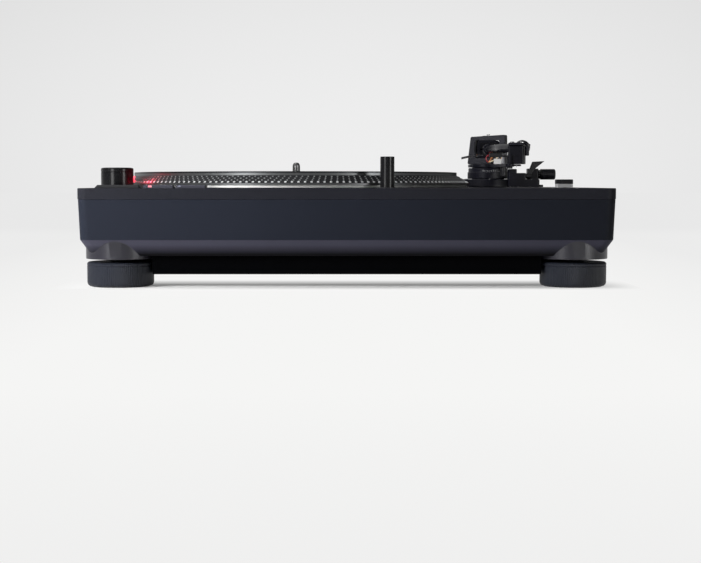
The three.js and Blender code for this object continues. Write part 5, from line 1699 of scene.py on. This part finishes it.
def blended(w, factor, first, second, output):
    """Two shaders mixed into the output of a material or a world."""
    blend = w.node("ShaderNodeMixShader")
    for socket, source in zip(blend.inputs, (factor, first.outputs[0], second.outputs[0])):
        w.link(source, socket)
    w.link(blend.outputs[0], w.tree.nodes[output].inputs["Surface"])


def floor_material():
    """A pale floor that shows as plain backdrop, with true shading only under and behind the turntable."""
    stage = group_of("stage")
    material = bpy.data.materials.new("pale_floor")
    material.use_nodes = True
    w = Wiring(material.node_tree)
    near_tone, far_tone = (*stage.floor_colour, 1.0), (*stage.far_colour, 1.0)
    shader = w.feed(w.tree.nodes["Principled BSDF"], Base_Color=near_tone, Roughness=0.6,
                    Specular_IOR_Level=0.1)
    place = w.place()
    y, aside = place["Y"], w.maths("ABSOLUTE", place["X"])
    away = w.maths("MAXIMUM", w.spread(aside, 0.16, 0.42, 0.0, 0.75), w.spread(y, -0.15, 1.4, 0.0, 1.0),
                   w.spread(y, -0.75, -1.1, 0.0, 0.6))
    plain = w.feed(w.node("ShaderNodeEmission"), Color=w.mixed(away, near_tone, far_tone), Strength=1.0)
    front = CAD_BOX[0].y
    strip = w.maths("MULTIPLY", w.spread(y, front - 0.012, front + 0.012, 0.0, 0.8),
                    w.spread(y, front + 0.04, front + 0.1, 1.0, 0.0))
    rear = w.maths("MULTIPLY", w.spread(y, front + 0.2, front + 0.26, 0.0, 0.75),
                   w.spread(y, -front, 0.42 - front, 1.0, 0.0))
    shaded = w.maths("MULTIPLY", w.maths("MAXIMUM", strip, rear), w.spread(aside, 0.18, 0.25, 1.0, 0.0))
    unshaded = w.maths("MULTIPLY", seen_directly(w), w.maths("SUBTRACT", 1.0, shaded))
    blended(w, unshaded, shader, plain, "Material Output")
    return material


def build_world():
    """A pale background for the camera. Reflections see it bright behind and above, and dark in front."""
    stage = group_of("stage")
    world = bpy.context.scene.world = bpy.data.worlds.new("studio")
    world.use_nodes = True
    w = Wiring(world.node_tree)
    way = w.place()
    x, y, z = way["X"], way["Y"], way["Z"]
    behind = w.spread(y, 0.05, 0.8, 0.0, stage.sky_strength)
    above = w.maths("MULTIPLY", w.spread(z, 0.35, 1.0, 0.0, stage.sky_strength),
                    w.spread(x, -0.3, 0.2, 1.0, 0.05))
    sky = w.maths("MULTIPLY", w.maths("MAXIMUM", behind, above), w.spread(x, -1.0, 0.6, 1.0, 0.1))
    level = w.maths("MAXIMUM", stage.front_strength, sky, w.spread(x, 0.8, 0.95, 0.0, 0.2))
    light = w.feed(w.tree.nodes["Background"], Color=(1.0, 1.0, 1.0, 1.0), Strength=level)
    fall = w.maths("ADD", w.maths("MULTIPLY", x, x), w.maths("MULTIPLY", z, z, 3.5))
    camera_ray = w.node("ShaderNodeLightPath").outputs["Is Camera Ray"]
    pale = w.maths("MULTIPLY", camera_ray, w.maths("MAXIMUM", w.maths("SUBTRACT", 1.0, fall), 0.85))
    seen = w.feed(w.node("ShaderNodeBackground"), Color=(*stage.backdrop_colour, 1.0),
                  Strength=w.maths("MAXIMUM", pale, level))
    blended(w, seen_directly(w), light, seen, "World Output")


def area_lamp(name, spot, aim, size, watts, soft=True, shine=True):
    light = bpy.data.lights.new(name, "AREA")
    light.shape = "RECTANGLE"
    light.size, light.size_y = size
    light.energy = watts
    lamp = linked(name, light)
    lamp.location = spot
    lamp.rotation_euler = (Vector(aim) - Vector(spot)).to_track_quat("-Z", "Y").to_euler()
    lamp.visible_camera = False
    lamp.visible_diffuse = soft
    lamp.visible_glossy = shine


def build_glow():
    """The red light that the strobe throws on the platter's rim."""
    light = bpy.data.lights.new("strobe_glow", "POINT")
    light.energy = group_of("stage").glow_power
    light.color = (1.0, 0.02, 0.06)
    light.shadow_soft_size = 0.002
    glow = linked("strobe_glow", light)
    glow.location = (Node("strobe_lens").high + Vector((14, -20, -2))) * MM
    glow.visible_camera = False
    glow.visible_glossy = False


def build_camera():
    stage = group_of("stage")
    camera = bpy.data.cameras.new("camera")
    camera.sensor_width = 36.0
    camera.lens = stage.lens
    camera.clip_start = 0.01
    camera.clip_end = 100.0
    eye = linked("camera", camera)
    eye.location = (stage.aside, CAD_BOX[0].y - stage.distance, stage.height)
    eye.rotation_euler = (QUARTER + stage.tilt, 0.0, 0.0)
    bpy.context.scene.camera = eye
    bpy.context.scene.view_settings.view_transform = "Standard"


def build_stage():
    stage = group_of("stage")
    floor = bmesh.new()
    bmesh.ops.create_circle(floor, cap_ends=True, segments=64, radius=12.0)
    ground = mesh_object("floor", floor)
    ground.data.materials.append(floor_material())
    build_world()
    area_lamp("key_lamp", (-0.75, -0.6, 0.32), (-0.16, -0.1, 0.05), (0.45, 0.45), stage.key_power,
              shine=False)
    area_lamp("left_strip", (-0.55, -0.83, 0.2), (-0.2, -0.12, 0.07), (0.26, 0.6), stage.strip_power,
              soft=False)
    area_lamp("right_strip", (0.66, -0.66, 0.2), (0.1, -0.12, 0.07), (0.2, 0.6), stage.strip_power,
              soft=False)
    area_lamp("top_lamp", (-0.5, 0.1, 1.5), (0.0, 0.0, 0.0), (1.2, 1.2), stage.top_power)
    build_glow()
    build_camera()


# Operators and panel


class TURNTABLE_OT_stage(bpy.types.Operator):
    """Set up the floor, the lamps and the camera"""

    bl_idname = "turntable.stage"
    bl_label = "Stage"

    def execute(self, context):
        build_stage()
        return {"FINISHED"}


class TURNTABLE_OT_deck(bpy.types.Operator):
    """Build the deck panel with the platter's well"""

    bl_idname = "turntable.deck"
    bl_label = "Deck panel"

    def execute(self, context):
        build_deck()
        return {"FINISHED"}


class TURNTABLE_OT_cabinet(bpy.types.Operator):
    """Build the cabinet with its four bosses"""

    bl_idname = "turntable.cabinet"
    bl_label = "Cabinet"

    def execute(self, context):
        build_cabinet()
        return {"FINISHED"}


class TURNTABLE_OT_base(bpy.types.Operator):
    """Build the rubber base and the four feet"""

    bl_idname = "turntable.base"
    bl_label = "Base and feet"

    def execute(self, context):
        build_base()
        build_feet()
        return {"FINISHED"}


class TURNTABLE_OT_platter(bpy.types.Operator):
    """Build the platter with its strobe dots, the mat and the spindle"""

    bl_idname = "turntable.platter"
    bl_label = "Platter, mat and spindle"

    def execute(self, context):
        build_platter()
        build_mat()
        build_spindle()
        return {"FINISHED"}


class TURNTABLE_OT_buttons(bpy.types.Operator):
    """Build the start button and the speed buttons with their lights"""

    bl_idname = "turntable.buttons"
    bl_label = "Buttons"

    def execute(self, context):
        build_buttons()
        return {"FINISHED"}


class TURNTABLE_OT_strobe(bpy.types.Operator):
    """Build the strobe column with the power knob"""

    bl_idname = "turntable.strobe"
    bl_label = "Strobe column"

    def execute(self, context):
        build_strobe()
        return {"FINISHED"}


class TURNTABLE_OT_light(bpy.types.Operator):
    """Build the target light, its guide and its button"""

    bl_idname = "turntable.light"
    bl_label = "Target light"

    def execute(self, context):
        build_light()
        return {"FINISHED"}


class TURNTABLE_OT_fader(bpy.types.Operator):
    """Build the pitch fader with its scale"""

    bl_idname = "turntable.fader"
    bl_label = "Pitch fader"

    def execute(self, context):
        build_fader()
        return {"FINISHED"}


class TURNTABLE_OT_terminals(bpy.types.Operator):
    """Build the rear terminals and the power inlet"""

    bl_idname = "turntable.terminals"
    bl_label = "Rear terminals"

    def execute(self, context):
        build_terminals()
        return {"FINISHED"}


class TURNTABLE_OT_arm_base(bpy.types.Operator):
    """Build the tonearm's base, its height ring and its carriage with the gimbal"""

    bl_idname = "turntable.arm_base"
    bl_label = "Tonearm base and gimbal"

    def execute(self, context):
        build_arm_base()
        build_height_ring()
        build_bracket()
        build_gimbal_frame()
        build_gimbal_ring()
        return {"FINISHED"}


class TURNTABLE_OT_arm(bpy.types.Operator):
    """Build the arm tube, the counterweight and the force dial"""

    bl_idname = "turntable.arm"
    bl_label = "Tonearm and counterweight"

    def execute(self, context):
        build_arm()
        return {"FINISHED"}


class TURNTABLE_OT_head(bpy.types.Operator):
    """Build the headshell, the cartridge, the stylus and the leads"""

    bl_idname = "turntable.head"
    bl_label = "Headshell and leads"

    def execute(self, context):
        build_nut()
        build_headshell()
        build_cartridge()
        build_head_leads()
        build_arm_leads()
        return {"FINISHED"}


class TURNTABLE_OT_levers(bpy.types.Operator):
    """Build the lifter, the armrest, the cue lever and the anti-skate knob"""

    bl_idname = "turntable.levers"
    bl_label = "Lifter and levers"

    def execute(self, context):
        build_lifter()
        build_armrest()
        build_clip()
        build_cue_lever()
        build_anti_skate()
        return {"FINISHED"}


class TURNTABLE_OT_inner(bpy.types.Operator):
    """Give the inner nodes of the frame their materials"""

    bl_idname = "turntable.inner"
    bl_label = "Inner parts"

    def execute(self, context):
        build_inner()
        return {"FINISHED"}


OPERATORS = (
    TURNTABLE_OT_stage, TURNTABLE_OT_deck, TURNTABLE_OT_cabinet, TURNTABLE_OT_base, TURNTABLE_OT_platter,
    TURNTABLE_OT_buttons, TURNTABLE_OT_strobe, TURNTABLE_OT_light, TURNTABLE_OT_fader, TURNTABLE_OT_terminals,
    TURNTABLE_OT_arm_base, TURNTABLE_OT_arm, TURNTABLE_OT_head, TURNTABLE_OT_levers, TURNTABLE_OT_inner,
)


class TURNTABLE_PT_pieces(bpy.types.Panel):
    """Lists the operators that build the turntable"""

    bl_idname = "TURNTABLE_PT_pieces"
    bl_label = "Turntable"
    bl_space_type = "VIEW_3D"
    bl_region_type = "UI"
    bl_category = "Turntable"

    def draw(self, context):
        for operator in OPERATORS:
            self.layout.operator(operator.bl_idname)


def register():
    for cls in (*SETTINGS.values(), *OPERATORS, TURNTABLE_PT_pieces):
        bpy.utils.register_class(cls)
    for name, cls in SETTINGS.items():
        setattr(bpy.types.Scene, f"turntable_{name}", PointerProperty(type=cls))


def unregister():
    for name in SETTINGS:
        delattr(bpy.types.Scene, f"turntable_{name}")
    for cls in (TURNTABLE_PT_pieces, *reversed(OPERATORS), *SETTINGS.values()):
        bpy.utils.unregister_class(cls)


def main():
    register()
    for operator in OPERATORS:
        group, name = operator.bl_idname.split(".")
        getattr(getattr(bpy.ops, group), name)()


if __name__ == "__main__":
    main()
